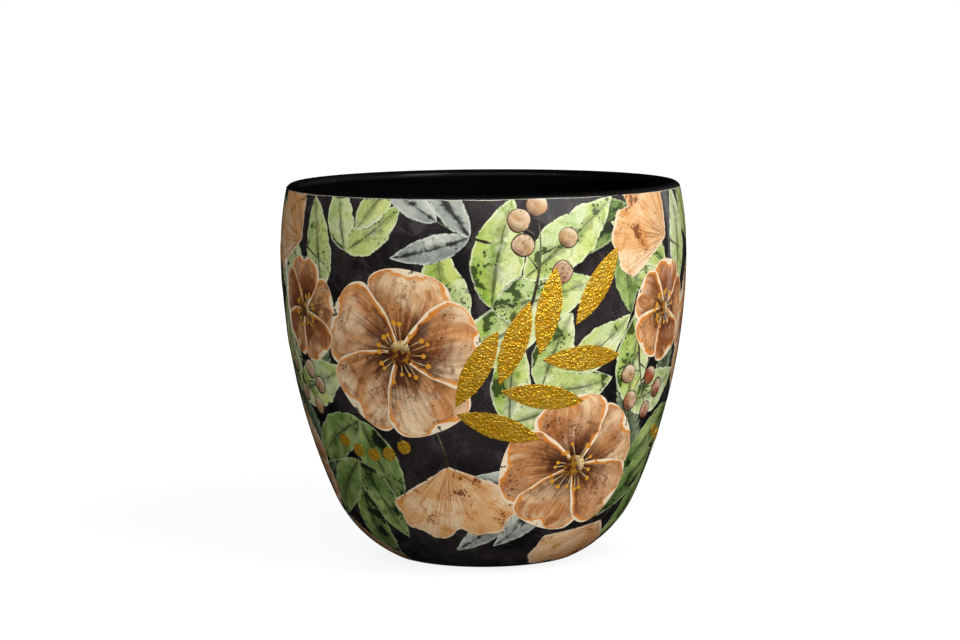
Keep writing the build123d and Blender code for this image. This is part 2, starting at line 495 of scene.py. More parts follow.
class NodeSheet:
    """Adds and links the nodes of one shader tree."""

    def __init__(self, tree: NodeTree) -> None:
        """Works on an existing tree."""
        self.tree = tree

    def node(self, kind: str, **settings: object) -> Node:
        """Adds a node.

        Args:
            kind: which shader node it is.
            settings: properties to set on it.

        Returns:
            The new node.
        """
        made = self.tree.nodes.new(f"ShaderNode{kind}")
        for name, value in settings.items():
            setattr(made, name, value)
        return made

    def put(self, socket: NodeSocket, value: object) -> None:
        """Gives an input its value.

        Args:
            socket: the input.
            value: an output to link to it, or a plain value to set.
        """
        if isinstance(value, NodeSocket):
            self.tree.links.new(value, socket)
        else:
            socket.default_value = value

    def feed(self, made: Node, *values: object, **named: object) -> Node:
        """Gives a node's inputs their values.

        Args:
            made: the node.
            values: values of its first inputs.
            named: values of inputs by name, where an underscore stands for a space.

        Returns:
            The node.
        """
        for socket, value in zip(made.inputs, values):
            self.put(socket, value)
        for name, value in named.items():
            self.put(made.inputs[name.replace("_", " ")], value)
        return made

    def math(self, operation: str, *values: object) -> NodeSocket:
        """Result of a math node."""
        return self.feed(self.node("Math", operation=operation), *values).outputs[0]

    def times(self, first: object, second: object) -> NodeSocket:
        """Product of two values."""
        return self.math("MULTIPLY", first, second)

    def vector(self, operation: str, *values: object) -> NodeSocket:
        """Result of a vector math node."""
        return self.feed(self.node("VectorMath", operation=operation), *values).outputs[0]

    def join(self, *values: object) -> NodeSocket:
        """Vector of three values."""
        return self.feed(self.node("CombineXYZ"), *values).outputs[0]

    def parts(self, place: NodeSocket) -> Sequence[NodeSocket]:
        """The three values of a vector."""
        return tuple(self.feed(self.node("SeparateXYZ"), place).outputs)

    def mix(self, share: object, first: object, second: object, blend: str = "MIX") -> NodeSocket:
        """Colour between two colours.

        Args:
            share: how much of the second colour there is, from 0 to 1.
            first: the first colour.
            second: the second colour.
            blend: how they are put together.

        Returns:
            The mixed colour.
        """
        made = self.node("Mix", data_type="RGBA", blend_type=blend)
        factor, colours = made.inputs[0], [socket for socket in made.inputs if socket.type == "RGBA"]
        for socket, value in zip((factor, *colours), (share, first, second)):
            self.put(socket, value)
        return next(socket for socket in made.outputs if socket.type == "RGBA")

    def step(self, value: object, low: object, high: object) -> NodeSocket:
        """Soft step of a value from 0 at low to 1 at high, which may be the smaller of the two."""
        made = self.node("MapRange", interpolation_type="SMOOTHSTEP")
        return self.feed(made, Value=value, From_Min=low, From_Max=high).outputs["Result"]

    def cloud(self, place: object, scale: object, detail: float = 3.0, warp: float = 0.0) -> NodeSocket:
        """Value of a noise texture, about 0.5 on the whole."""
        made = self.feed(self.node("TexNoise"), Vector=place, Scale=scale)
        return self.feed(made, Detail=detail, Distortion=warp).outputs["Fac"]

    def uneven(self, place: object, scale: float, detail: float, warp: float) -> NodeSocket:
        """Value of a noise texture, about zero on the whole."""
        return self.math("SUBTRACT", self.cloud(place, scale, detail, warp), 0.5)

    def cells(self, place: object, scale: object, feature: str = "F1") -> NodeSocket:
        """Distance from the nearest point, or from the nearest edge, of a texture of cells."""
        made = self.node("TexVoronoi", feature=feature)
        return self.feed(made, Vector=place, Scale=scale).outputs["Distance"]

    def mark(self, mark: Mark) -> NodeSocket:
        """Value that the printed patch carries."""
        return self.node("Attribute", attribute_name=mark.value).outputs["Fac"]

    def place(self) -> NodeSocket:
        """Place on the pot, in metres."""
        return self.node("TexCoord").outputs["Object"]

    def bump(self, shader: Node, height: NodeSocket, strength: float, depth: float) -> None:
        """Roughens a shader's surface by a height."""
        made = self.feed(self.node("Bump"), Strength=strength, Distance=depth, Height=height)
        self.feed(shader, Normal=made.outputs["Normal"])

    def effect(self, tree: NodeTree, **inputs: object) -> Node:
        """Places a shared effect with its own values."""
        return self.feed(self.node("Group", node_tree=tree), **inputs)


class EffectSheet(NodeSheet):
    """Sheet of a shared effect, a node group with named inputs and outputs."""

    def __init__(self, name: str, inputs: dict[str, str], outputs: dict[str, str]) -> None:
        """Starts the group.

        Args:
            name: name of the group.
            inputs: kind of socket by the input's name.
            outputs: kind of socket by the output's name.
        """
        super().__init__(bpy.data.node_groups.new(name, "ShaderNodeTree"))
        for way, sockets in (("INPUT", inputs), ("OUTPUT", outputs)):
            for label, kind in sockets.items():
                self.tree.interface.new_socket(name=label, in_out=way, socket_type=f"NodeSocket{kind}")
        self.given = tuple(self.tree.nodes.new("NodeGroupInput").outputs)[: len(inputs)]
        self.result = self.tree.nodes.new("NodeGroupOutput")


class Effects:
    """Effects that several finishes share, each a node group that is built once."""

    def __init__(self) -> None:
        """Builds every effect."""
        self.wash = self._wash()
        self.speckle = self._speckle()
        self.rim = self._rim()
        self.streaks = self._streaks()

    @staticmethod
    def _wash() -> NodeTree:
        """Watercolour wash: pale to middle in soft blooms, with deeper pools, tide lines and paper grain.

        Returns:
            The node group.
        """
        sheet = EffectSheet(
            "watercolour wash",
            {"Place": "Vector", "Pale": "Color", "Middle": "Color", "Deep": "Color", "Bloom": "Float"},
            {"Colour": "Color"},
        )
        place, pale, middle, deep, scale = sheet.given
        bloom = sheet.cloud(place, scale, 4.0, 0.8)
        pool = sheet.cloud(place, sheet.times(scale, 2.6), 6.0, 1.6)
        tide = sheet.cloud(place, sheet.times(scale, 1.3), 2.0, 2.5)
        colour = sheet.mix(sheet.step(bloom, 0.38, 0.6), pale, middle)
        colour = sheet.mix(sheet.times(sheet.step(pool, 0.52, 0.7), 0.75), colour, deep)
        off_tide = sheet.math("ABSOLUTE", sheet.math("SUBTRACT", tide, 0.5))
        colour = sheet.mix(sheet.times(sheet.step(off_tide, 0.025, 0.0), 0.3), colour, deep)
        grain = sheet.math("MULTIPLY_ADD", sheet.cloud(place, 1500.0, 2.0), 0.5, 0.75)
        tint = sheet.feed(sheet.node("CombineColor"), grain, grain, grain)
        sheet.feed(sheet.result, Colour=sheet.mix(1.0, colour, tint.outputs["Color"], "MULTIPLY"))
        return sheet.tree

    @staticmethod
    def _speckle() -> NodeTree:
        """Ink speckle: sponged blots and small dots that gather in drifts, and the drifts as a halo.

        Returns:
            The node group.
        """
        sheet = EffectSheet(
            "ink speckle",
            {"Place": "Vector", "Size": "Float", "Drift": "Float", "Amount": "Float"},
            {"Mask": "Float", "Halo": "Float"},
        )
        place, size, drift, amount = sheet.given
        reach = sheet.times(sheet.step(sheet.cloud(place, drift, 3.0, 0.6), 0.46, 0.68), amount)
        coarse = sheet.math("LESS_THAN", sheet.cells(place, size), sheet.times(reach, 0.42))
        fine = sheet.math("LESS_THAN", sheet.cells(place, sheet.times(size, 2.3)), sheet.times(reach, 0.36))
        sponge = sheet.cloud(place, sheet.times(size, 0.4), 9.0, 0.4)
        level = sheet.math("MULTIPLY_ADD", reach, -0.3, 0.8)
        blot = sheet.step(sponge, level, sheet.math("ADD", level, 0.07))
        mask = sheet.math("MAXIMUM", blot, sheet.math("MAXIMUM", coarse, fine))
        sheet.feed(sheet.result, Mask=mask, Halo=reach)
        return sheet.tree

    @staticmethod
    def _rim() -> NodeTree:
        """Painted rim: 1 at a patch's edge over an uneven width in millimetres, and bites torn from it.

        Returns:
            The node group.
        """
        sheet = EffectSheet(
            "painted rim",
            {"Place": "Vector", "Edge": "Float", "Width": "Float", "Uneven": "Float"},
            {"Mask": "Float", "Bare": "Float"},
        )
        place, edge, width, uneven = sheet.given
        wave = sheet.times(sheet.uneven(place, 130.0, 4.0, 0.5), uneven)
        reach = sheet.math("MAXIMUM", sheet.times(sheet.math("MULTIPLY_ADD", wave, 2.0, 1.0), width), 0.02)
        bite = sheet.times(sheet.uneven(place, 420.0, 5.0, 0.3), sheet.times(uneven, 3.4))
        mask = sheet.step(edge, reach, sheet.times(reach, 0.55))
        sheet.feed(sheet.result, Mask=mask, Bare=sheet.math("LESS_THAN", edge, bite))
        return sheet.tree

    @staticmethod
    def _streaks() -> NodeTree:
        """Brush streaks that run the length of a petal or leaf.

        Returns:
            The node group.
        """
        sheet = EffectSheet(
            "brush streaks",
            {"Along": "Float", "Across": "Float", "Seed": "Float", "Count": "Float"},
            {"Mask": "Float"},
        )
        along, across, seed, count = sheet.given
        lane = sheet.join(sheet.times(along, 1.6), sheet.times(across, count), sheet.times(seed, 9.0))
        sheet.feed(sheet.result, Mask=sheet.step(sheet.cloud(lane, 1.0, 4.0, 0.4), 0.46, 0.64))
        return sheet.tree


@dataclass(frozen=True)
class Gloss:
    """Clear lacquer over a finish, and the finish's own dull sheen under it."""

    coat: float = 1.0
    coat_roughness: float = 0.05
    roughness: float = 0.55
    specular: float = 0.15


class FinishSheet(NodeSheet):
    """Sheet of a lacquered material, on which washes and brush work are laid over one another."""

    def __init__(self, name: str, gloss: Gloss, effects: Effects) -> None:
        """Starts the material.

        Args:
            name: name of the material.
            gloss: its lacquer and sheen.
            effects: the effects that finishes share.
        """
        self.material = bpy.data.materials.new(name)
        self.material.use_nodes = True
        super().__init__(self.material.node_tree)
        self.effects = effects
        self.colour: object = GROUND_DARK
        self.shader = next(node for node in self.tree.nodes if node.type == "BSDF_PRINCIPLED")
        self.feed(
            self.shader,
            Coat_Weight=gloss.coat,
            Coat_Roughness=gloss.coat_roughness,
            Roughness=gloss.roughness,
            Specular_IOR_Level=gloss.specular,
        )

    @cached_property
    def spot(self) -> NodeSocket:
        """Place on the pot at which the textures are read."""
        return self.place()

    def lay(self, mask: object, colour: object, strength: float = 1.0) -> None:
        """Lays a colour where a mask lets it through."""
        share = mask if strength == 1.0 else self.times(mask, strength)
        self.colour = self.mix(share, self.colour, colour)

    def wash(self, pale: object, middle: object, deep: object, bloom: float) -> NodeSocket:
        """Watercolour wash with so many blooms to the metre."""
        colours = {"Pale": pale, "Middle": middle, "Deep": deep}
        return self.effect(self.effects.wash, Place=self.spot, Bloom=bloom, **colours).outputs["Colour"]

    def speckle(self, size: float, drift: float, amount: object) -> Node:
        """Ink speckle with so many dots and drifts to the metre."""
        return self.effect(self.effects.speckle, Place=self.spot, Size=size, Drift=drift, Amount=amount)


class PatchSheet(FinishSheet):
    """Sheet of a printed patch's material, which knows what the points of the patch carry."""

    def __init__(self, name: str, gloss: Gloss, effects: Effects) -> None:
        """Starts the material of the patches, from the same values as any finish."""
        super().__init__(name, gloss, effects)
        self.along, self.across, self.edge, self.seed, self.tone = (self.mark(mark) for mark in Mark)

    @cached_property
    def spot(self) -> NodeSocket:
        """Place on the pot, shifted for each patch so that no two washes are alike."""
        shift = self.join(self.seed, self.times(self.seed, 1.7), self.times(self.seed, -2.3))
        return self.vector("ADD", self.place(), shift)

    def rim(self, width: float, uneven: float) -> Node:
        """Painted rim of the patch."""
        return self.effect(self.effects.rim, Place=self.spot, Edge=self.edge, Width=width, Uneven=uneven)

    def brush(self, count: float) -> NodeSocket:
        """Brush streaks along the patch."""
        marks = {"Along": self.along, "Across": self.across, "Seed": self.seed}
        return self.effect(self.effects.streaks, Count=count, **marks).outputs["Mask"]

    def edging(self, width: float, uneven: float, colour: Colour, strength: float) -> None:
        """Lays a colour along the patch's rim, over an uneven width in millimetres."""
        self.lay(self.rim(width, uneven).outputs["Mask"], colour, strength)

    def sponge(self, size: float, drift: float, amount: object, ink: Colour, halo: Colour) -> None:
        """Lays sponged ink on the patch, in a soft halo of another colour.

        Args:
            size: dots to the metre.
            drift: drifts of dots to the metre.
            amount: how much ink there is.
            ink: its colour.
            halo: colour of the halo.
        """
        made = self.speckle(size, drift, amount)
        self.lay(made.outputs["Halo"], halo, 0.5)
        self.lay(made.outputs["Mask"], ink, 0.85)

    def tear(self, uneven: float) -> None:
        """Tears bites from the patch's rim, down to the ground."""
        self.lay(self.rim(1.0, uneven).outputs["Bare"], GROUND_DARK, 0.85)


@dataclass(frozen=True, kw_only=True)
class Finish(ABC):
    """A lacquered finish, which each kind dresses in its own way."""

    name: str
    gloss: Gloss = Gloss()

    def sheet(self, effects: Effects) -> FinishSheet:
        """Empty sheet of the material."""
        return FinishSheet(self.name, self.gloss, effects)

    @abstractmethod
    def dress(self, sheet: FinishSheet) -> None:
        """Lays the finish's colours and relief on its sheet."""

    def material(self, effects: Effects) -> Material:
        """Makes the material.

        Args:
            effects: the effects that finishes share.

        Returns:
            The dressed material.
        """
        sheet = self.sheet(effects)
        self.dress(sheet)
        sheet.feed(sheet.shader, Base_Color=sheet.colour)
        return sheet.material


class PatchFinish(Finish):
    """A finish of printed patches."""

    def sheet(self, effects: Effects) -> PatchSheet:
        """Empty sheet of the material, with what the patches carry."""
        return PatchSheet(self.name, self.gloss, effects)


@dataclass(frozen=True, kw_only=True)
class GroundFinish(Finish):
    """Charcoal ground of the print: cloudy, brushed and lightly dusted."""

    name: str = "charcoal_ground"
    middle: Colour = paint(44, 38, 38)
    light: Colour = paint(70, 63, 64)
    dust: Colour = paint(136, 126, 122)
    bristles: Triple = (320.0, 320.0, 40.0)

    def dress(self, sheet: FinishSheet) -> None:
        """Lays a cloudy wash, brush marks that run upwards, and dust.

        Args:
            sheet: sheet of the material.
        """
        sheet.colour = sheet.wash(self.middle, GROUND_DARK, self.light, bloom=26.0)
        brushed = sheet.cloud(sheet.vector("MULTIPLY", sheet.spot, self.bristles), 1.0, 4.0, 0.3)
        sheet.lay(sheet.step(brushed, 0.5, 0.75), self.light, 0.3)
        sheet.lay(sheet.speckle(size=620.0, drift=34.0, amount=0.5).outputs["Mask"], self.dust, 0.25)


@dataclass(frozen=True, kw_only=True)
class LeafFinish(PatchFinish):
    """Watercolour leaf: two-sided wash, dark brushed core, side veins, sponged ink and a pale fringe."""

    pale: Colour
    middle: Colour
    deep: Colour
    ink: Colour
    fringe: Colour
    blots: float
    core: float
    veins: float = 8.0
    vein_slant: float = -2.2
    rib_width: float = 0.13
    rib_taper: float = -0.12

    def dress(self, sheet: PatchSheet) -> None:
        """Lays the wash, the veins, the core, the ink, the fringe and the middle rib.

        Args:
            sheet: sheet of the material.
        """
        sheet.colour = sheet.wash(self.pale, self.middle, self.deep, bloom=46.0)
        sheet.lay(sheet.step(sheet.across, -0.1, 0.5), self.deep, 0.35)
        sheet.lay(sheet.tone, self.pale, 0.3)
        side = sheet.math("ABSOLUTE", sheet.across)
        slant = sheet.math("MULTIPLY_ADD", side, self.vein_slant, sheet.times(sheet.along, self.veins))
        vein = sheet.step(sheet.math("PINGPONG", slant, 0.5), 0.08, 0.0)
        faded = sheet.step(sheet.cloud(sheet.spot, 160.0, 2.0), 0.42, 0.6)
        sheet.lay(sheet.times(vein, faded), self.deep, 0.5)
        wander = sheet.uneven(sheet.spot, 190.0, 7.0, 0.6)
        core = sheet.step(sheet.math("MULTIPLY_ADD", wander, 1.5, side), 0.4, 0.0)
        sheet.lay(core, self.ink, self.core)
        shaded = sheet.math("MULTIPLY_ADD", sheet.step(sheet.across, -0.2, 0.9), 0.7, 0.6)
        sheet.sponge(430.0, 52.0, sheet.times(shaded, self.blots), self.ink, self.deep)
        sheet.edging(1.3, 1.9, self.fringe, 0.5)
        rib_width = sheet.math("MULTIPLY_ADD", sheet.along, self.rib_taper, self.rib_width)
        off_rib = sheet.math("ABSOLUTE", sheet.math("MULTIPLY_ADD", wander, 0.12, sheet.across))
        rib = sheet.step(off_rib, rib_width, sheet.times(rib_width, 0.5))
        broken = sheet.step(sheet.cloud(sheet.spot, 300.0, 2.0), 0.3, 0.5)
        sheet.lay(sheet.times(rib, broken), self.ink, 0.65)
        sheet.tear(1.3)


@dataclass(frozen=True, kw_only=True)
class PetalFinish(PatchFinish):
    """Watercolour petal: streaked wash, umber flame from a dark throat, orange band and cream lip."""

    name: str = "blossom_wash"
    pale: Colour = paint(254, 224, 180)
    middle: Colour = paint(230, 166, 106)
    deep: Colour = paint(156, 86, 38)
    flame: Colour = paint(84, 40, 20)
    throat: Colour = paint(44, 16, 10)
    band: Colour = paint(236, 142, 36)
    lip: Colour = paint(252, 236, 204)

    def dress(self, sheet: PatchSheet) -> None:
        """Lays the wash, the streaks, the flame, the throat, the ink, the band and the lip.

        Args:
            sheet: sheet of the material.
        """
        shades = pairwise((self.pale, self.middle, self.deep, self.flame))
        sheet.colour = sheet.wash(*(sheet.mix(sheet.tone, *pair) for pair in shades), bloom=38.0)
        sheet.lay(sheet.brush(7.0), self.deep, 0.4)
        sheet.lay(sheet.step(sheet.across, 0.2, 0.9), self.deep, 0.3)
        sheet.lay(sheet.times(sheet.step(sheet.along, 0.5, 0.95), sheet.brush(4.0)), self.pale, 0.6)
        inner = sheet.step(sheet.along, 0.85, 0.2)
        middle = sheet.step(sheet.math("ABSOLUTE", sheet.across), 0.85, 0.25)
        modelled = sheet.step(sheet.cloud(sheet.spot, 85.0, 6.0, 1.4), 0.46, 0.6)
        sheet.lay(sheet.times(sheet.brush(10.0), sheet.times(inner, middle)), self.flame, 0.85)
        sheet.lay(sheet.times(sheet.brush(24.0), inner), self.flame, 0.7)
        sheet.lay(sheet.times(modelled, inner), self.flame, 0.75)
        sheet.lay(sheet.step(sheet.along, 0.55, 0.1), self.throat, 0.95)
        sheet.sponge(520.0, 60.0, 0.75, self.flame, self.deep)
        sheet.edging(2.9, 1.9, self.band, 0.8)
        sheet.edging(1.4, 2.2, self.lip, 0.92)
        sheet.tear(0.25)


@dataclass(frozen=True, kw_only=True)
class FanFinish(PatchFinish):
    """Fan leaf in peach: fine radiating veins, burnt blots and a cream edge."""

    name: str = "fan_leaf_wash"
    pale: Colour = paint(246, 214, 172)
    middle: Colour = paint(234, 182, 124)
    deep: Colour = paint(210, 134, 54)
    vein: Colour = paint(110, 50, 24)
    fringe: Colour = paint(250, 234, 206)
    veins: float = 30.0

    def dress(self, sheet: PatchSheet) -> None:
        """Lays the wash, the veins, the blots and the edge.

        Args:
            sheet: sheet of the material.
        """
        sheet.colour = sheet.wash(self.pale, self.middle, self.deep, bloom=44.0)
        rays = sheet.brush(self.veins)
        sheet.lay(rays, self.deep, 0.4)
        sheet.lay(sheet.times(rays, sheet.step(sheet.along, 0.75, 0.1)), self.vein, 0.75)
        sheet.sponge(480.0, 70.0, 0.95, self.vein, self.deep)
        sheet.edging(1.4, 1.8, self.fringe, 0.55)
        sheet.tear(1.2)


@dataclass(frozen=True, kw_only=True)
class BerryFinish(PatchFinish):
    """Round berry in tan or brick, with a lit side, a soft shadow side and a dark brushed outline."""

    name: str = "berry_wash"
    light: Colour = paint(238, 220, 188)
    tan: Colour = paint(190, 146, 98)
    brick: Colour = paint(158, 66, 38)
    shade: Colour = paint(78, 44, 26)
    outline: Colour = paint(40, 24, 18)

    def dress(self, sheet: PatchSheet) -> None:
        """Lays the skin, its light and shade, the ink and the outline.

        Args:
            sheet: sheet of the material.
        """
        skin = sheet.mix(sheet.step(sheet.tone, 0.6, 0.7), self.tan, self.brick)
        sheet.colour = sheet.mix(0.5, sheet.wash(self.light, skin, self.shade, bloom=110.0), skin)
        lit = sheet.math("MULTIPLY_ADD", sheet.along, 0.45, sheet.times(sheet.across, 0.75))
        sheet.lay(sheet.step(lit, 0.05, 0.75), self.light, 0.8)
        sheet.lay(sheet.step(lit, -0.05, -0.8), self.shade, 0.75)
        sheet.sponge(800.0, 120.0, 0.8, self.shade, self.tan)
        sheet.edging(0.7, 1.9, self.outline, 0.9)
        sheet.tear(0.4)


@dataclass(frozen=True, kw_only=True)
class InkFinish(PatchFinish):
    """Plain brushed ink that runs from a root colour to a tip colour, for stems, fronds and stamens."""

    root: Colour
    tip: Colour
    accent: Colour

    def dress(self, sheet: PatchSheet) -> None:
        """Lays the ink, and its accent in blots and on patches of a high tone.

        Args:
            sheet: sheet of the material.
        """
        sheet.colour = sheet.mix(sheet.step(sheet.along, 0.1, 0.9), self.root, self.tip)
        sheet.lay(sheet.step(sheet.cloud(sheet.spot, 420.0, 4.0, 0.5), 0.42, 0.66), self.accent, 0.55)
        sheet.lay(sheet.step(sheet.tone, 0.6, 0.8), self.accent)


@dataclass(frozen=True, kw_only=True)
class FoilFinish(PatchFinish):
    """Crinkled gold foil under lacquer, with a painted glint on its creases, and bronzed where it is rubbed.
    """

    name: str = "crinkled_gold"
    gloss: Gloss = Gloss(coat=0.15, roughness=0.45, specular=0.5)
    metallic: float = 0.65
    gold: Colour = paint(255, 192, 34)
    painted_glint: Colour = paint(255, 220, 96)
    bronze: Colour = paint(224, 146, 14)
    umber: Colour = paint(150, 86, 8)
    crinkles: float = 560.0
    depth: float = 0.8 * MM

    def dress(self, sheet: PatchSheet) -> None:
        """Lays the gold, rubbed and grained, with a painted glint on its creases, over sharp creases and
        soft dents.

        Args:
            sheet: sheet of the material.
        """
        dent = sheet.cloud(sheet.spot, 0.5 * self.crinkles, 3.0, 1.2)
        crease = sheet.cells(sheet.spot, self.crinkles, "DISTANCE_TO_EDGE")
        fine = sheet.cells(sheet.spot, 2.1 * self.crinkles, "DISTANCE_TO_EDGE")
        dull = sheet.step(sheet.cloud(sheet.spot, 0.35 * self.crinkles, 5.0, 0.8), 0.5, 0.68)
        line = sheet.math("MAXIMUM", sheet.step(crease, 0.08, 0.02), sheet.step(fine, 0.1, 0.03))
        sheet.colour = sheet.mix(sheet.times(dull, 0.6), self.gold, self.bronze)
        sheet.lay(sheet.step(sheet.cloud(sheet.spot, 1500.0), 0.48, 0.34), self.umber, 0.6)
        # Painted glint: pale gold laid on the crease lines where the dents rise, in place of the lamps'
        # sparkle on the foil.
        sheet.lay(sheet.times(line, sheet.step(dent, 0.42, 0.58)), self.painted_glint, 0.8)
        roughness = sheet.math("MULTIPLY_ADD", dull, 0.2, 0.2)
        sheet.feed(sheet.shader, Roughness=roughness, Metallic=self.metallic)
        height = sheet.math("MULTIPLY_ADD", fine, 0.45, sheet.times(crease, 0.9))
        sheet.bump(sheet.shader, sheet.math("MULTIPLY_ADD", dent, 0.7, height), 1.0, self.depth)


@dataclass(frozen=True, kw_only=True)
class LiningFinish(Finish):
    """Black waterproof lacquer, nearly dull, with faint brush rings and a little dust."""

    name: str = "black_lining"
    gloss: Gloss = Gloss(coat=0.12, coat_roughness=0.16, specular=0.04)
    black: Colour = paint(3, 3, 3)
    soft: Colour = paint(8, 8, 8)
    bristles: Triple = (18.0, 18.0, 700.0)

    def dress(self, sheet: FinishSheet) -> None:
        """Lays the black with its clouds, brush rings and dust.

        Args:
            sheet: sheet of the material.
        """
        rings = sheet.cloud(sheet.vector("MULTIPLY", sheet.spot, self.bristles), 1.0, 3.0)
        clouds = sheet.math("ADD", sheet.step(sheet.cloud(sheet.spot, 38.0, 4.0, 0.6), 0.45, 0.7), rings)
        dust = sheet.speckle(size=500.0, drift=30.0, amount=0.4).outputs["Mask"]
        share = sheet.math("MULTIPLY_ADD", dust, 0.4, sheet.times(clouds, 0.5))
        sheet.colour = sheet.mix(share, self.black, self.soft)
        sheet.feed(sheet.shader, Roughness=sheet.math("MULTIPLY_ADD", rings, 0.2, 0.4))


@dataclass(frozen=True, kw_only=True)
class ClayFinish(Finish):
    """Fired clay of the underside: dark overspray, rubbed back to pale clay on the foot ring."""

    foot_level: float
    name: str = "fired_clay"
    gloss: Gloss = Gloss(coat=0.0, roughness=0.8, specular=0.3)
    clay: Colour = paint(196, 178, 152)
    stain: Colour = paint(140, 116, 90)
    overspray: Colour = paint(34, 32, 32)
    ring_reach: float = 0.9 * MM
    worn_reach: float = 0.1 * MM
    grain: float = 2200.0
    grain_depth: float = 0.1 * MM

    def dress(self, sheet: FinishSheet) -> None:
        """Lays the overspray, the clay where it is rubbed off, and the grain of the clay.

        Args:
            sheet: sheet of the material.
        """
        height = sheet.parts(sheet.spot)[2]
        rubbed = sheet.step(height, self.foot_level + self.ring_reach, self.foot_level + self.worn_reach)
        scuffed = sheet.step(sheet.cloud(sheet.spot, 210.0, 5.0, 0.7), 0.36, 0.52)
        sheet.colour = self.overspray
        sheet.lay(sheet.times(rubbed, scuffed), sheet.wash(self.clay, self.clay, self.stain, bloom=70.0))
        sheet.bump(sheet.shader, sheet.cloud(sheet.spot, self.grain, 4.0), 0.5, self.grain_depth)


@dataclass(frozen=True, kw_only=True)
class FeltFinish(Finish):
    """Pressed black felt with tangled fibres."""

    name: str = "pressed_felt"
    gloss: Gloss = Gloss(coat=0.0, roughness=0.95, specular=0.1)
    sheen: float = 0.4
    sheen_roughness: float = 0.6
    dark: Colour = paint(26, 26, 27)
    fibre: Colour = paint(62, 61, 62)
    fibres: float = 2600.0
    depth: float = 0.25 * MM

    def dress(self, sheet: FinishSheet) -> None:
        """Lays the fibres and their soft sheen.

        Args:
            sheet: sheet of the material.
        """
        tangle = sheet.cloud(sheet.spot, self.fibres, 6.0, 2.2)
        sheet.colour = sheet.mix(sheet.step(tangle, 0.4, 0.7), self.dark, self.fibre)
        sheet.feed(sheet.shader, Sheen_Weight=self.sheen, Sheen_Roughness=self.sheen_roughness)
        sheet.bump(sheet.shader, tangle, 0.8, self.depth)


class Ink(Enum):
    """The washes and inks of the print, each of which makes one film."""

    LIME_LEAF = LeafFinish(
        name="lime_leaf_wash",
        pale=paint(228, 232, 188),
        middle=paint(206, 216, 118),
        deep=paint(126, 168, 40),
        ink=paint(30, 44, 20),
        fringe=paint(238, 242, 208),
        blots=1.4,
        core=0.45,
    )
    MOSS_LEAF = LeafFinish(
        name="moss_leaf_wash",
        pale=paint(176, 196, 116),
        middle=paint(96, 134, 50),
        deep=paint(34, 60, 24),
        ink=paint(14, 22, 12),
        fringe=paint(190, 204, 150),
        blots=1.5,
        core=0.5,
    )
    SAGE_LEAF = LeafFinish(
        name="sage_leaf_wash",
        pale=paint(212, 214, 200),
        middle=paint(160, 168, 156),
        deep=paint(92, 102, 98),
        ink=paint(24, 26, 26),
        fringe=paint(228, 230, 220),
        blots=0.6,
        core=0.95,
    )
    BLOSSOM = PetalFinish()
    STAMEN = InkFinish(
        name="stamen_ink", root=paint(74, 28, 16), tip=paint(248, 226, 166), accent=paint(222, 156, 44)
    )
    FAN_LEAF = FanFinish()
    BERRY = BerryFinish()
    STEM = InkFinish(
        name="stem_ink", root=paint(58, 44, 32), tip=paint(112, 112, 82), accent=paint(30, 24, 20)
    )
    FERN = InkFinish(
        name="fern_ink", root=paint(84, 96, 70), tip=paint(150, 166, 128), accent=paint(58, 70, 54)
    )
    SHADOW_FERN = InkFinish(
        name="shadow_ink", root=paint(16, 15, 15), tip=paint(20, 19, 19), accent=paint(27, 25, 26)
    )


class PatchShape(ABC):
    """Flat outline of one patch, worked out point by point."""

    @property
    @abstractmethod
    def spans(self) -> tuple[int, int]:
        """Number of spans along the patch and across it."""

    @abstractmethod
    def point(self, share: float, across: float, seed: float) -> PatchPoint:
        """Flat point at a share of the length, and from -1 on the right to 1 on the left."""

    def grid(self, seed: float) -> Grid:
        """Rows of points from the patch's root to its tip."""
        rows, columns = self.spans
        return [[self.point(share, 2 * q - 1, seed) for q in spread(columns)] for share in spread(rows)]


@dataclass(frozen=True)
class LeafShape(PatchShape):
    """One leaf: pointed at both ends, widest below its middle, slightly wavy and curled."""

    length: float
    width: float
    curl: float = 0.0
    facet: float = 1.5 * MM
    waves: float = 0.06
    belly: float = 0.82
    fullness: float = 0.85
    thinnest: float = 0.05 * MM

    @property
    def spans(self) -> tuple[int, int]:
        """Number of spans along the leaf and across it."""
        return max(6, round(self.length / self.facet)), max(4, 2 * round(0.5 * self.width / self.facet))

    def point(self, share: float, across: float, seed: float) -> PatchPoint:
        """Point of the leaf.

        Args:
            share: share of its length.
            across: share of its half width.
            seed: number that sets it apart from the others.

        Returns:
            The flat point.
        """
        side = Side.LEFT if across > 0 else Side.RIGHT
        swell = math.sin(math.pi * share**self.belly) ** self.fullness
        ripple = waver(share * 9.0, seed * 7.0, 3.0 * side.value)
        half = 0.5 * self.width * swell * (1 + self.waves * ripple * 2) + self.thinnest
        bend = self.curl * share
        axis = Vector((math.cos(bend / 2), math.sin(bend / 2))) * self.length * share
        place = axis + Vector((-math.sin(bend), math.cos(bend))) * half * across
        edge = min((1 - abs(across)) * half, share * self.length, (1 - share) * self.length)
        return PatchPoint(place.x, place.y, share, across, edge)


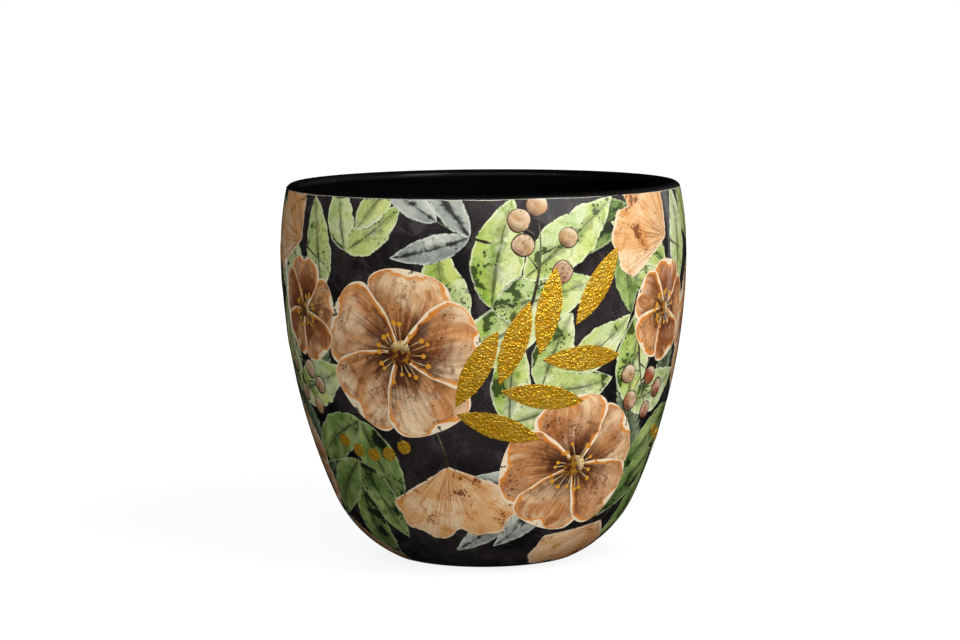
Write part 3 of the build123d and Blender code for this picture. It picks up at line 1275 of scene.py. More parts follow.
@dataclass(frozen=True)
class PetalShape(PatchShape):
    """One broad petal with a shallow notch at its tip, where its rows lie closer together."""

    length: float
    width: float
    start: float = 0.06
    notch: float = 0.07
    notch_width: float = 0.4
    facet: float = 1.5 * MM
    widest: float = 1.4957
    crowding: float = 1.7
    waves: float = 0.07
    tip_waves: float = 0.02
    thinnest: float = 0.05 * MM

    @property
    def spans(self) -> tuple[int, int]:
        """Number of spans along the petal and across it."""
        return max(8, round(self.length / self.facet)), max(8, 2 * round(0.5 * self.width / self.facet))

    def point(self, share: float, across: float, seed: float) -> PatchPoint:
        """Point of the petal.

        Args:
            share: share of its rows.
            across: share of its half width.
            seed: number that sets it apart from the others.

        Returns:
            The flat point.
        """
        along = self.start + (1 - self.start) * (1 - (1 - share) ** self.crowding)
        swell = self.widest * along**0.75 * math.sqrt(max(0.0, 1 - along**4))
        ripple = waver(along * 5.0, across * 3.0, seed * 11.0)
        half = 0.5 * self.width * swell * (1 + self.waves * ripple) + self.thinnest
        notch = self.notch * math.exp(-((across / self.notch_width) ** 2))
        ahead = self.length * (along - notch * along**8 + self.tip_waves * ripple * along**4)
        edge = max(0.0, min((1 - abs(across)) * half, self.length * (1 - notch) - ahead))
        return PatchPoint(ahead, across * half, along, across, edge)


@dataclass(frozen=True)
class FanShape(PatchShape):
    """One fan leaf: a wide wedge with a wavy front, round shoulders and a cleft in the middle."""

    reach: float
    half_angle: float = math.radians(62.0)
    cleft: float = 0.18
    cleft_angle: float = 0.12
    shoulder: float = 0.16
    waves: float = 0.035
    root: float = 0.4 * MM
    facet: float = 1.0 * MM

    @property
    def spans(self) -> tuple[int, int]:
        """Number of spans from the stalk to the front, and round the front."""
        front = 2 * round(self.reach * self.half_angle / self.facet)
        return max(6, round(self.reach / self.facet)), max(8, front)

    def point(self, share: float, across: float, seed: float) -> PatchPoint:
        """Point of the fan.

        Args:
            share: share of the way from the stalk to the front.
            across: share of the fan's half angle.
            seed: number that sets it apart from the others.

        Returns:
            The flat point.
        """
        turn = across * self.half_angle
        ripple = waver(turn * 4.0, seed * 5.0, 0.5) + 0.5 * math.sin(turn * 17.0 + seed)
        cleft = self.cleft * math.exp(-((turn / self.cleft_angle) ** 2))
        shoulder = self.shoulder * (turn / self.half_angle) ** 4
        front = self.reach * (1 - cleft - shoulder + self.waves * ripple)
        reach = self.root + (front - self.root) * share
        edge = min((1 - abs(across)) * self.half_angle * reach, front - reach)
        return PatchPoint(reach * math.cos(turn), reach * math.sin(turn), share, across, edge)


@dataclass(frozen=True)
class DiscShape(PatchShape):
    """One round spot, a little uneven, whose points carry right and up on the pot from -1 to 1."""

    diameter: float
    facet: float = 1.2 * MM
    uneven: float = 0.05
    heading: float = 0.0

    @property
    def spans(self) -> tuple[int, int]:
        """Number of spans from the middle to the rim, and round the rim."""
        rows = max(3, round(0.5 * self.diameter / self.facet))
        return rows, max(14, round(math.pi * self.diameter / self.facet))

    def point(self, share: float, across: float, seed: float) -> PatchPoint:
        """Point of the disc.

        Args:
            share: share of its radius.
            across: how far round it lies, where -1 and 1 are the same place.
            seed: number that sets it apart from the others.

        Returns:
            The flat point.
        """
        radius = 0.5 * self.diameter
        turn = math.tau * (0.5 * (across + 1) % 1)
        ripple = waver(math.cos(turn), math.sin(turn), seed * 13.0)
        reach = share * radius * (1 + self.uneven * ripple)
        right, up = share * math.cos(turn + self.heading), share * math.sin(turn + self.heading)
        return PatchPoint(reach * math.cos(turn), reach * math.sin(turn), right, up, radius * (1 - share))


@dataclass(frozen=True)
class StemShape(PatchShape):
    """One bent stem, thinner towards its tip and drawn in at its root."""

    length: float
    width: float
    bend: float = 0.0
    facet: float = 2.5 * MM
    taper: float = 0.7
    waves: float = 0.4
    straight: float = 1e-6

    @property
    def spans(self) -> tuple[int, int]:
        """Number of spans along the stem and across it."""
        return max(4, round(self.length / self.facet)), 2

    def at(self, share: float) -> Triple:
        """Place on the stem's line.

        Args:
            share: share of the stem's length.

        Returns:
            How far ahead of the root and to its left the place lies, and how far the stem has turned.
        """
        if abs(self.bend) < self.straight:
            return self.length * share, 0.0, 0.0
        turn, radius = self.bend * share, self.length / self.bend
        return radius * math.sin(turn), radius * (1 - math.cos(turn)), turn

    def point(self, share: float, across: float, seed: float) -> PatchPoint:
        """Point of the stem.

        Args:
            share: share of its length.
            across: share of its half width.
            seed: number that sets it apart from the others.

        Returns:
            The flat point.
        """
        ahead, left, turn = self.at(share)
        ripple = waver(share * 12.0, seed * 3.0, 1.0)
        half = 0.5 * self.width * min(1 - self.taper * share, 0.2 + 9 * share) * (1 + self.waves * ripple)
        x = ahead - math.sin(turn) * half * across
        y = left + math.cos(turn) * half * across
        return PatchPoint(x, y, share, across, (1 - abs(across)) * half)


@dataclass(frozen=True)
class WillowShape(PatchShape):
    """One willow leaf of foil, bounded by two arcs, with slightly torn edges."""

    length: float
    width: float
    facet: float
    torn: float = 0.07
    thinnest: float = 0.06 * MM

    @property
    def spans(self) -> tuple[int, int]:
        """Number of spans along the leaf and across it."""
        return round(self.length / self.facet), 2 * round(0.5 * self.width / self.facet)

    def point(self, share: float, across: float, seed: float) -> PatchPoint:
        """Point of the leaf.

        Args:
            share: share of its length.
            across: share of its half width.
            seed: number that sets it apart from the others.

        Returns:
            The flat point.
        """
        half_length, half_width = self.length / 2, self.width / 2
        radius = (half_length**2 + half_width**2) / (2 * half_width)
        ahead = self.length * (share - 0.5)
        arch = math.sqrt(radius**2 - ahead**2) - (radius - half_width)
        tear = waver(share * 24.0, math.copysign(1.0, across) * 2.0, seed * 17.0)
        half = max(arch * (1 + self.torn * tear), self.thinnest)
        return PatchPoint(ahead, across * half, share, across, (1 - abs(across)) * half)


@dataclass
class Print:
    """The botanical print: its films, one for each ink, and the motifs that are drawn on them."""

    outline: PotOutline
    effects: Effects
    sway: float = 4.0
    stem_width: float = 1.5 * MM
    stem_tone: float = 0.2
    leaf_angle: float = 42.0
    leaf_swing: float = 6.0
    leaf_lengths: Flat = (0.92, 1.06)
    leaf_widths: Flat = (0.9, 1.1)
    leaf_curls: Flat = (0.1, 0.4)
    leaf_steps: int = 5
    tip_leaf: Flat = (0.95, 0.9)
    tip_curl: float = 0.25
    petals: int = 5
    petal_swing: float = 0.06
    petal_sizes: Flat = (0.94, 1.04)
    petal_breadth: float = 1.06
    heart_share: float = 0.15
    heart_uneven: float = 0.25
    stamens: int = 17
    thread_swing: float = 0.3
    thread_bend: float = 0.4
    thread_root: float = 0.05
    thread_tips: Flat = (0.12, 0.185)
    thread_width: float = 0.75 * MM
    thread_facet: float = 1.2 * MM
    anther_sizes: Flat = (1.7, 2.6)
    anther_uneven: float = 0.2
    anther_facet: float = 0.7 * MM
    fan_stalk_share: float = 0.55
    fan_stalk_bend: float = 0.7
    fan_stalk_width: float = 1.6 * MM
    fan_stalk_root: float = 1.0 * MM
    twig_width: float = 1.7 * MM
    berry_leans: Flat = (38.0, 62.0)
    berry_reaches: Flat = (0.75, 1.1)
    last_berry_reach: float = 0.35
    first_berry: float = 0.28
    berry_span: float = 0.71
    berry_sizes: Flat = (0.8, 1.05)
    berry_uneven: float = 0.08
    berry_stalk_width: float = 1.0 * MM
    berry_stalk_bend: float = 0.2
    spine_width: float = 1.2 * MM
    pinna_pitch: float = 4.2
    pinna_lean: float = 62.0
    pinna_sweep: float = 18.0
    pinna_breadth: float = 0.26
    pinna_curl: float = 0.3
    pinna_waves: float = 0.03
    pinna_gap: float = 0.1 * MM
    pinna_facet: float = 2.2 * MM
    least_pinna: float = 2.0 * MM
    rng: random.Random = field(default_factory=lambda: random.Random(20261))
    films: dict[Ink, InkFilm] = field(init=False)

    def __post_init__(self) -> None:
        """Starts an empty film for each ink."""
        self.films = {ink: InkFilm(self.outline, f"{ink.name.lower()}_print") for ink in Ink}

    def swing(self, reach: float) -> float:
        """Random value that lies at most a reach below or above zero."""
        return self.rng.uniform(-reach, reach)

    def spot(self, turn: float, along: float, heading: float, sector: int) -> Spot:
        """Spot of a motif.

        Args:
            turn: degrees to the right of the middle of the sector.
            along: millimetres along the surface from the foot.
            heading: degrees counter-clockwise from the right.
            sector: which of the repeats round the pot.

        Returns:
            The spot, with a little hand-made unevenness on the repeats that face away.
        """
        sway = 0.0 if sector == 0 else self.swing(self.sway)
        return Spot(
            self.outline,
            FRONT + SECTOR_TURN * sector + math.radians(turn + 0.3 * sway),
            (along + 0.5 * sway) * MM,
            math.radians(heading + sway),
        )

    def draw(
        self, ink: Ink, spot: Spot, shape: PatchShape, lift: float, tone: float, seed: float | None = None
    ) -> None:
        """Draws one patch.

        Args:
            ink: wash or ink of the patch.
            spot: its place and heading.
            shape: its flat outline.
            lift: its height above the surface.
            tone: share from 0 to 1 for the finish to vary its colour by.
            seed: number for its shape and its wash, or None for two new ones.
        """
        shape_seed = self.rng.random() if seed is None else seed
        wash_seed = self.rng.random() if seed is None else seed
        self.films[ink].add(spot, shape.grid(shape_seed), lift, wash_seed, tone)

    def leaf(self, ink: Ink, spot: Spot, shape: LeafShape, lift: float) -> None:
        """Draws one leaf in a tone of its own."""
        seed = self.rng.random()
        self.draw(ink, spot, shape, lift, self.rng.random(), seed)

    def leaf_spray(
        self, spot: Spot, ink: Ink, length: float, leaf: Flat, pairs: int, bend: float, layer: Layer
    ) -> None:
        """Draws a bent stem with paired leaves and one leaf at its tip.

        Args:
            spot: root and heading of the stem.
            ink: wash of the leaves.
            length: length of the stem in millimetres.
            leaf: length and width of the largest leaf in millimetres.
            pairs: number of leaf pairs.
            bend: degrees that the stem turns, counter-clockwise.
            layer: layer of the leaves.
        """
        stem = StemShape(length * MM, self.stem_width, math.radians(bend))
        below = Layer.STEM if layer is Layer.LEAF else Layer.BACK_STEM
        self.draw(Ink.STEM, spot, stem, below.height(), self.stem_tone)
        leaf_length, leaf_width = leaf[0] * MM, leaf[1] * MM
        for pair in range(pairs):
            share = (pair + 0.45) / (pairs + 0.2)
            joint = spot.moved(*stem.at(share))
            size = 1.0 - 0.3 * abs(share - 0.35)
            for index, side in enumerate(Side, 2 * pair):
                lean = side.value * math.radians(self.leaf_angle + self.swing(self.leaf_swing))
                shape = LeafShape(
                    leaf_length * size * self.rng.uniform(*self.leaf_lengths),
                    leaf_width * size * self.rng.uniform(*self.leaf_widths),
                    curl=-side.value * self.rng.uniform(*self.leaf_curls),
                )
                self.leaf(ink, joint.moved(turn=lean), shape, layer.height(index % self.leaf_steps))
        tip_length, tip_width = self.tip_leaf
        tip = LeafShape(tip_length * leaf_length, tip_width * leaf_width, curl=self.swing(self.tip_curl))
        self.leaf(ink, spot.moved(*stem.at(0.97)), tip, layer.height(2 * pairs % self.leaf_steps))

    def blossom(self, spot: Spot, diameter: float, tone: float) -> None:
        """Draws an open blossom with its stamens.

        Args:
            spot: middle of the blossom.
            diameter: distance across its petals in millimetres.
            tone: share from 0 to 1 by which its wash is deeper.
        """
        across = diameter * MM
        for index in range(self.petals):
            seed = self.rng.random()
            turn = math.tau * index / self.petals + self.swing(self.petal_swing)
            size = 0.5 * across * self.rng.uniform(*self.petal_sizes)
            petal = PetalShape(size, self.petal_breadth * size)
            self.draw(Ink.BLOSSOM, spot.moved(turn=turn), petal, Layer.PETAL.height(index), tone, seed)
        lift = Layer.CENTRE.height()
        heart = DiscShape(self.heart_share * diameter * MM, uneven=self.heart_uneven)
        self.draw(Ink.STAMEN, spot, heart, lift, tone=0.0)
        start = self.thread_root * across
        for index in range(self.stamens):
            turn = math.tau * (index + self.swing(self.thread_swing)) / self.stamens
            length = across * self.rng.uniform(*self.thread_tips) - start
            thread = StemShape(length, self.thread_width, self.swing(self.thread_bend), self.thread_facet)
            root = spot.moved(turn=turn).moved(start)
            self.draw(Ink.STAMEN, root, thread, lift, tone=0.3)
            anther_size = self.rng.uniform(*self.anther_sizes) * MM
            anther = DiscShape(anther_size, self.anther_facet, self.anther_uneven)
            self.draw(Ink.STAMEN, root.moved(*thread.at(1.0)), anther, lift, tone=1.0)

    def fan(self, spot: Spot, size: float) -> None:
        """Draws a fan leaf on its stalk.

        Args:
            spot: root of the leaf, and where its front faces.
            size: length of the leaf in millimetres.
        """
        seed = self.rng.random()
        self.draw(Ink.FAN_LEAF, spot, FanShape(size * MM), Layer.FAN.height(), self.rng.random(), seed)
        length = self.fan_stalk_share * size * MM
        stalk = StemShape(length, self.fan_stalk_width, self.swing(self.fan_stalk_bend))
        root = spot.moved(self.fan_stalk_root, turn=math.pi)
        self.draw(Ink.STEM, root, stalk, Layer.STEM.height(), self.stem_tone, seed)

    def berry_sprig(self, spot: Spot, length: float, berries: int, size: float, bend: float) -> None:
        """Draws a bent twig with berries on short stalks to both sides and one at its tip.

        Args:
            spot: root and heading of the twig.
            length: length of the twig in millimetres.
            berries: number of berries.
            size: diameter of the largest berry in millimetres.
            bend: degrees that the twig turns.
        """
        twig = StemShape(length * MM, self.twig_width, math.radians(bend))
        self.draw(Ink.STEM, spot, twig, Layer.STEM.height(), self.stem_tone)
        last = berries - 1
        for index in range(berries):
            side = Side.LEFT if index % 2 else Side.RIGHT
            lean = 0.0 if index == last else side.value * math.radians(self.rng.uniform(*self.berry_leans))
            share = self.last_berry_reach if index == last else self.rng.uniform(*self.berry_reaches)
            reach = share * size * MM
            place = twig.at(self.first_berry + self.berry_span * index / last)
            joint = spot.moved(*place).moved(turn=lean)
            stalk = StemShape(reach, self.berry_stalk_width, self.berry_stalk_bend * side.value)
            self.draw(Ink.STEM, joint, stalk, Layer.STEM.height(), self.stem_tone)
            diameter = size * MM * self.rng.uniform(*self.berry_sizes)
            middle = joint.moved(reach + 0.4 * diameter)
            seed = self.rng.random()
            berry = DiscShape(diameter, uneven=self.berry_uneven, heading=middle.heading)
            self.draw(Ink.BERRY, middle, berry, Layer.BERRY.height(), self.rng.random(), seed)

    def fern(self, spot: Spot, length: float, width: float, bend: float, shadow: bool = False) -> None:
        """Draws a fern frond.

        Args:
            spot: root and heading of the frond.
            length: length of the frond in millimetres.
            width: length of its longest pinna in millimetres.
            bend: degrees that the frond turns.
            shadow: whether it is one of the dark fronds of the ground.
        """
        ink, layer = (Ink.SHADOW_FERN, Layer.SHADOW_FERN) if shadow else (Ink.FERN, Layer.FERN)
        seed = self.rng.random()
        spine = StemShape(length * MM, self.spine_width, math.radians(bend))
        self.draw(ink, spot, spine, layer.height(), 0.0, seed)
        for share in spread(round(length / self.pinna_pitch))[1:-1]:
            joint = spot.moved(*spine.at(share))
            size = width * MM * math.sin(math.pi * (0.12 + 0.86 * share) ** 0.75) ** 0.9
            for side in Side:
                pinna = LeafShape(
                    max(size, self.least_pinna),
                    self.pinna_breadth * width * MM,
                    curl=-self.pinna_curl * side.value,
                    facet=self.pinna_facet,
                    waves=self.pinna_waves,
                )
                lean = side.value * math.radians(self.pinna_lean - self.pinna_sweep * share)
                root = joint.moved(turn=lean).moved(self.pinna_gap)
                self.draw(ink, root, pinna, layer.height(), 0.0, seed)

    def lay_out(self, sector: int) -> None:
        """Draws one repeat of the print.

        Args:
            sector: which of the repeats round the pot.
        """
        def at(turn: float, along: float, heading: float) -> Spot:
            """Spot in this repeat."""
            return self.spot(turn, along, heading, sector)

        lime, moss, sage, back = Ink.LIME_LEAF, Ink.MOSS_LEAF, Ink.SAGE_LEAF, Layer.BACK_LEAF
        self.fern(at(-44, 62, 118), length=92, width=17, bend=26, shadow=True)
        self.fern(at(6, 18, 62), length=96, width=16, bend=30, shadow=True)
        self.fern(at(40, 96, 74), length=88, width=16, bend=-24, shadow=True)
        self.fern(at(-8, 132, 100), length=62, width=14, bend=-20, shadow=True)
        self.fern(at(58, 44, 100), length=74, width=14, bend=24)
        self.fern(at(-54, 96, 96), length=78, width=13, bend=-22)
        self.leaf_spray(at(-12, 112, 66), lime, length=66, leaf=(62, 27), pairs=2, bend=-30, layer=back)
        self.leaf_spray(at(-38, 100, -118), moss, length=50, leaf=(52, 22), pairs=2, bend=24, layer=back)
        self.leaf_spray(at(-46, 142, 128), lime, length=34, leaf=(48, 21), pairs=1, bend=20, layer=back)
        self.leaf_spray(at(40, 86, 40), lime, length=44, leaf=(50, 22), pairs=1, bend=26, layer=back)
        self.leaf_spray(at(24, 60, -150), sage, length=34, leaf=(42, 16), pairs=2, bend=-16, layer=back)
        self.leaf_spray(at(4, 84, 62), lime, length=48, leaf=(46, 20), pairs=2, bend=-34, layer=back)
        self.leaf_spray(at(-42, 166, 74), lime, length=20, leaf=(36, 16), pairs=1, bend=-24, layer=back)
        self.leaf_spray(at(44, 204, -112), moss, length=26, leaf=(40, 18), pairs=1, bend=24, layer=back)
        self.fan(at(-12, 70, -84), size=42)
        self.fan(at(52, 34, -110), size=38)
        self.fan(at(-60, 176, 150), size=40)
        self.blossom(at(-24, 126, 80), diameter=84, tone=0.0)
        self.blossom(at(30, 68, 30), diameter=72, tone=0.35)
        self.blossom(at(60, 142, 10), diameter=50, tone=0.9)
        self.leaf_spray(at(2, 178, 168), sage, length=28, leaf=(38, 14), pairs=1, bend=-20, layer=Layer.LEAF)
        self.berry_sprig(at(48, 134, -84), length=38, berries=5, size=10, bend=24)
        self.berry_sprig(at(12, 146, 70), length=42, berries=5, size=11, bend=26)

    def build(self) -> list[Object]:
        """Draws every repeat and makes the pieces.

        Returns:
            One piece for each ink.
        """
        for sector in range(SECTORS):
            self.lay_out(sector)
        made = []
        for ink, film in self.films.items():
            made.append(film.piece(ink.value.material(self.effects), "printed_film"))
        return made


@dataclass
class GoldFoil:
    """Crinkled foil leaves in sprigs and rows of foil dots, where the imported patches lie."""

    outline: PotOutline
    effects: Effects
    thickness: float = 0.18 * MM
    crinkle: float = 0.08 * MM
    coarse_crinkle: float = 3.2 * MM
    coarse_share: float = 0.7
    fine_crinkle: float = 1.5 * MM
    fine_share: float = 0.4
    fine_shift: Triple = (7.0, 3.0, 1.0)
    tip_turn: float = math.radians(38.0)
    tip_rise: float = 8.0 * MM
    tip_heading: float = math.radians(65.0)
    stem_radius: float = 150.0 * MM
    pairs: int = 3
    leaf_length: float = 42.0 * MM
    leaf_width: float = 12.0 * MM
    leaf_gap: float = 3.5 * MM
    leaf_spread: float = math.radians(40.0)
    stem_gap: float = 2.5 * MM
    dots: int = 5
    dot_diameter: float = 7.0 * MM
    dot_gap: float = 4.0 * MM
    dot_uneven: float = 0.06
    row_radius: float = 45.0 * MM
    row_turn: float = math.radians(-38.0)
    row_drop: float = 92.0 * MM
    facet: float = 0.8 * MM
    rng: random.Random = field(default_factory=lambda: random.Random(417))

    def relief(self, place: Vector) -> float:
        """Height of the crinkles.

        Args:
            place: a place on the pot.

        Returns:
            Height above the flat foil.
        """
        coarse = 1 - abs(noise.noise(place / self.coarse_crinkle))
        fine = 1 - abs(noise.noise(place / self.fine_crinkle + Vector(self.fine_shift)))
        return self.crinkle * (self.coarse_share * coarse**3 + self.fine_share * fine**2)

    def place(self, turn: float, level: float, x: float, y: float, heading: float) -> Spot:
        """Spot that lies x to the right of a turn and y above a level."""
        azimuth = FRONT + turn + x / self.outline.belly_radius
        return Spot(self.outline, azimuth, self.outline.along_at(level + y), heading)

    def stem_point(self, distance: float) -> Triple:
        """Place on a sprig's stem line.

        Args:
            distance: length along the line, back from its tip.

        Returns:
            How far right of the tip and above it the place lies, and the line's heading there.
        """
        heading = self.tip_heading - distance / self.stem_radius
        x = -self.stem_radius * (math.sin(self.tip_heading) - math.sin(heading))
        y = -self.stem_radius * (math.cos(heading) - math.cos(self.tip_heading))
        return x, y, heading

    def sprig_spots(self, turn: float) -> Iterator[Spot]:
        """Middle and heading of every leaf of one sprig.

        Args:
            turn: angle of the sprig's tip round the pot, from the front.

        Returns:
            The spots, from the tip down.
        """
        level = self.outline.belly_level + self.tip_rise
        yield self.place(turn, level, *self.stem_point(self.leaf_length / 2))
        spacing = (self.leaf_width + self.leaf_gap) / math.sin(self.leaf_spread)
        reach = self.stem_gap + self.leaf_length / 2
        for pair in range(1, self.pairs + 1):
            x, y, heading = self.stem_point(self.leaf_length + pair * spacing)
            for side in Side:
                lean = heading + side.value * self.leaf_spread
                yield self.place(turn, level, x + reach * math.cos(lean), y + reach * math.sin(lean), lean)

    def dot_spots(self, turn: float) -> Iterator[Spot]:
        """Middle of every dot of one row.

        Args:
            turn: angle of the row's middle round the pot, from the front.

        Returns:
            The spots, from left to right.
        """
        step = (self.dot_diameter + self.dot_gap) / self.row_radius
        for index in range(self.dots):
            swing = (index - (self.dots - 1) / 2) * step
            x = self.row_radius * math.sin(swing)
            y = self.row_radius * (1 - math.cos(swing)) - self.row_drop
            yield self.place(turn, self.outline.belly_level, x, y, 0.0)

    def lay(self, film: InkFilm, shape: PatchShape, spots: Iterator[Spot]) -> None:
        """Lays foil of one shape on a film.

        Args:
            film: the film.
            shape: flat outline of each patch.
            spots: where the patches lie.
        """
        for spot in spots:
            seed = self.rng.random()
            film.add(spot, shape.grid(seed), self.thickness, seed, self.rng.random(), self.relief)

    def build(self) -> list[Object]:
        """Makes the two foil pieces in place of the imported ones.

        Returns:
            The leaves and the dots.
        """
        leaves, dots = InkFilm(self.outline, "gold_leaves"), InkFilm(self.outline, "gold_dots")
        leaf = WillowShape(self.leaf_length, self.leaf_width, self.facet)
        dot = DiscShape(self.dot_diameter, self.facet, self.dot_uneven)
        for turn in (SECTOR_TURN * sector for sector in range(SECTORS)):
            self.lay(leaves, leaf, self.sprig_spots(turn + self.tip_turn))
            self.lay(dots, dot, self.dot_spots(turn + self.row_turn))
        material = FoilFinish().material(self.effects)
        made = [film.piece(material, "gold_foil", smooth=False) for film in (leaves, dots)]
        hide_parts("gold_leaf_patches")
        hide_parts("gold_dot_patches")
        return made


@dataclass
class PotShell:
    """The cast shell with its printed ground outside and black lining inside."""

    outline: PotOutline
    effects: Effects
    print_thickness: float = 0.4 * MM
    lining_thickness: float = 0.5 * MM
    segments: int = 320
    outside_steps: tuple[int, int, int, int] = (24, 56, 16, 12)
    inside_steps: tuple[int, int, int] = (24, 48, 14)
    floor_steps: int = 8
    lip_steps: int = 24
    line_points: int = 720
    line_rows: int = 3
    wander: float = 9.0
    tremble: float = 60.0
    thinnest_line: float = 0.02 * MM
    edge_reach: float = 0.4 * MM
    edge_uneven: float = 0.2 * MM
    edge_lift: float = 0.172 * MM
    # Pale line just under the black edge: partly the print's pale cut edge, partly a painted highlight where
    # the lacquer on the lip would gleam.
    pale_reach: float = 0.55 * MM
    pale_uneven: float = 0.4 * MM
    pale_lift: float = 0.166 * MM
    pale_edge_and_painted_highlight: Colour = paint(226, 212, 188)
    pale_line_stain: Colour = paint(120, 108, 98)

    def ground(self) -> Object:
        """Makes the printed ground, a closed film from the foot to the black edge on the lip.

        Returns:
            The piece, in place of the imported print.
        """
        inside = self._outside(self.print_thickness)
        heel = self.outline.arcs[0]
        drop = self.outline.foot_level - heel.centre_height
        inside[0] = heel.at(math.asin(drop / (heel.radius - self.print_thickness)), self.print_thickness)
        profile = [*self._outside(0.0), *reversed(inside)]
        mesh = turn_profile("printed_ground", profile, True, self.segments)
        piece = settle(mesh, GroundFinish().material(self.effects))
        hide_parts("printed_wrap")
        return piece

    def _outside(self, inset: float) -> list[Flat]:
        """Points of the outside, moved in by an inset, from the foot to the black edge."""
        arcs = [arc.steps(count, inset) for arc, count in zip(self.outline.arcs, self.outside_steps)]
        return [arcs[0][0], *chain(*(points[1:] for points in arcs))]

    def lining(self, material: Material) -> Object:
        """Makes the black lining, a closed film over the lip and down the inside to the floor.

        Args:
            material: the black lacquer.

        Returns:
            The piece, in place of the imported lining.
        """
        low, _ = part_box("inner_lining")
        face = self._inside(self.outline.wall, low.z + self.lining_thickness, 0.0)
        back = self._inside(self.outline.wall - self.lining_thickness, low.z, self.lining_thickness)
        mesh = turn_profile("black_lining", [*face, *reversed(back)], False, self.segments)
        piece = settle(mesh, material)
        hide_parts("inner_lining")
        return piece

    def _inside(self, inset: float, floor: float, lip_inset: float) -> list[Flat]:
        """Points of the inside from the axis over the floor, up the wall and over the lip.

        Args:
            inset: distance of the wall's inside from the pot's outside.
            floor: height of the floor.
            lip_inset: distance below the lip's own round.

        Returns:
            Points of radius and height.
        """
        heel, side, shoulder, lip = self.outline.arcs
        start = math.asin((floor - heel.centre_height) / (heel.radius - inset))
        corner, _ = heel.at(start, inset)
        points = [(corner * share, floor) for share in spread(self.floor_steps)]
        for arc, count, first in zip((heel, side, shoulder), self.inside_steps, (start, None, None)):
            points += arc.steps(count, inset, first)[1:]
        return points + lip.steps(self.lip_steps, lip_inset, lip.start + math.pi)[1:]

    def lip_line(self, name: str, reach: float, uneven: float, lift: float) -> InkFilm:
        """Film of a hand-painted line round the lip.

        Args:
            name: name of the piece.
            reach: how far the line reaches down from the black edge.
            uneven: how far its lower edge wanders.
            lift: its height above the surface.

        Returns:
            The film, ready to be made into a piece.
        """
        film = InkFilm(self.outline, name)
        top = self.outline.length - film.edge_margin
        grid = []
        for turn in (math.tau * share for share in spread(self.line_points)[:-1]):
            out, up = math.cos(turn), math.sin(turn)
            ripple = waver(self.wander * out, self.wander * up, reach / MM)
            ripple += 0.5 * waver(self.tremble * out, self.tremble * up, 2.0)
            drop = max(reach + uneven * ripple - film.edge_margin, self.thinnest_line)
            row = []
            for share in spread(self.line_rows):
                down = drop * (share - 1)
                row.append(PatchPoint(self.outline.locate(top + down)[0] * turn, down, share, share, 0.0))
            grid.append(row)
        film.add(Spot(self.outline, 0.0, top), [*grid, grid[0]], lift, seed=0.5, tone=0.5)
        return film

    def build(self, node: Object) -> list[Object]:
        """Makes the ground and the lining with its two lip lines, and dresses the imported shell.

        Args:
            node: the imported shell, of which the foot ring and the recess show.

        Returns:
            The pieces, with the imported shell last.
        """
        black = LiningFinish().material(self.effects)
        made = [self.ground(), self.lining(black)]
        edge = self.lip_line("black_lip_edge", self.edge_reach, self.edge_uneven, self.edge_lift)
        made.append(edge.piece(black, "black_lining"))
        # The pale lip line is partly the print's pale edge and partly a painted highlight along the lip.
        size = InkFinish(name="pale_edge_and_painted_highlight", root=self.pale_edge_and_painted_highlight, tip=self.pale_edge_and_painted_highlight, accent=self.pale_line_stain)
        line = self.lip_line("pale_lip_line", self.pale_reach, self.pale_uneven, self.pale_lift)
        made.append(line.piece(size.material(self.effects), "printed_film"))
        node.data.materials.clear()
        node.data.materials.append(ClayFinish(foot_level=self.outline.foot_level).material(self.effects))
        return [*made, node]


@dataclass
class FeltPads:
    """Soft round pads under the pot, slightly bulged and squeezed flat where they stand."""

    effects: Effects
    diameter: float = 12.0 * MM
    ring_radius: float = 26.0 * MM
    count: int = 4
    first_turn: float = math.radians(45.0)
    bulge: float = 0.25 * MM
    roundness: float = 0.6
    rise_steps: int = 8
    face_rings: tuple[float, ...] = (0.0, 0.3, 0.6, 0.85)
    fuzz: float = 0.09 * MM
    fuzz_size: float = 0.6 * MM
    corner: float = math.radians(50.0)
    segments: int = 64

    def profile(self, low: float, high: float) -> list[Flat]:
        """Outline of one pad.

        Args:
            low: height of its underside.
            high: height of its upper side.

        Returns:
            Points of radius and height, from the middle of the underside round to the upper side's.
        """
        radius = self.diameter / 2
        inner = [radius * share for share in self.face_rings]
        points = [(reach, low) for reach in inner]
        for share in spread(self.rise_steps):
            swell = self.bulge * math.sin(math.pi * share) ** self.roundness
            points.append((radius - self.bulge + swell, low + (high - low) * share))
        return points + [(reach, high) for reach in reversed(inner)]

    def build(self) -> Object:
        """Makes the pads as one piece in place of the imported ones.

        Returns:
            The piece.
        """
        low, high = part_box("felt_pads")
        shape = bmesh.new()
        for index in range(self.count):
            pad = turn_profile("pad", self.profile(low.z, high.z), False, self.segments)
            turn = self.first_turn + math.tau * index / self.count
            move = Vector((self.ring_radius * math.cos(turn), self.ring_radius * math.sin(turn), 0.0))
            pad.transform(Matrix.Translation(move))
            shape.from_mesh(pad)
            bpy.data.meshes.remove(pad)
        for vertex in shape.verts:
            flat = Vector((vertex.co.x, vertex.co.y, 0.0))
            free = math.sin(math.pi * (vertex.co.z - low.z) / (high.z - low.z))
            vertex.co += flat.normalized() * self.fuzz * free * noise.noise(vertex.co / self.fuzz_size)
        mesh = bpy.data.meshes.new("felt_pads_pressed")
        shape.to_mesh(mesh)
        shape.free()
        mesh.shade_smooth()
        mesh.set_sharp_from_angle(angle=self.corner)
        piece = settle(mesh, FeltFinish().material(self.effects))
        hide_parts("felt_pads")
        return piece


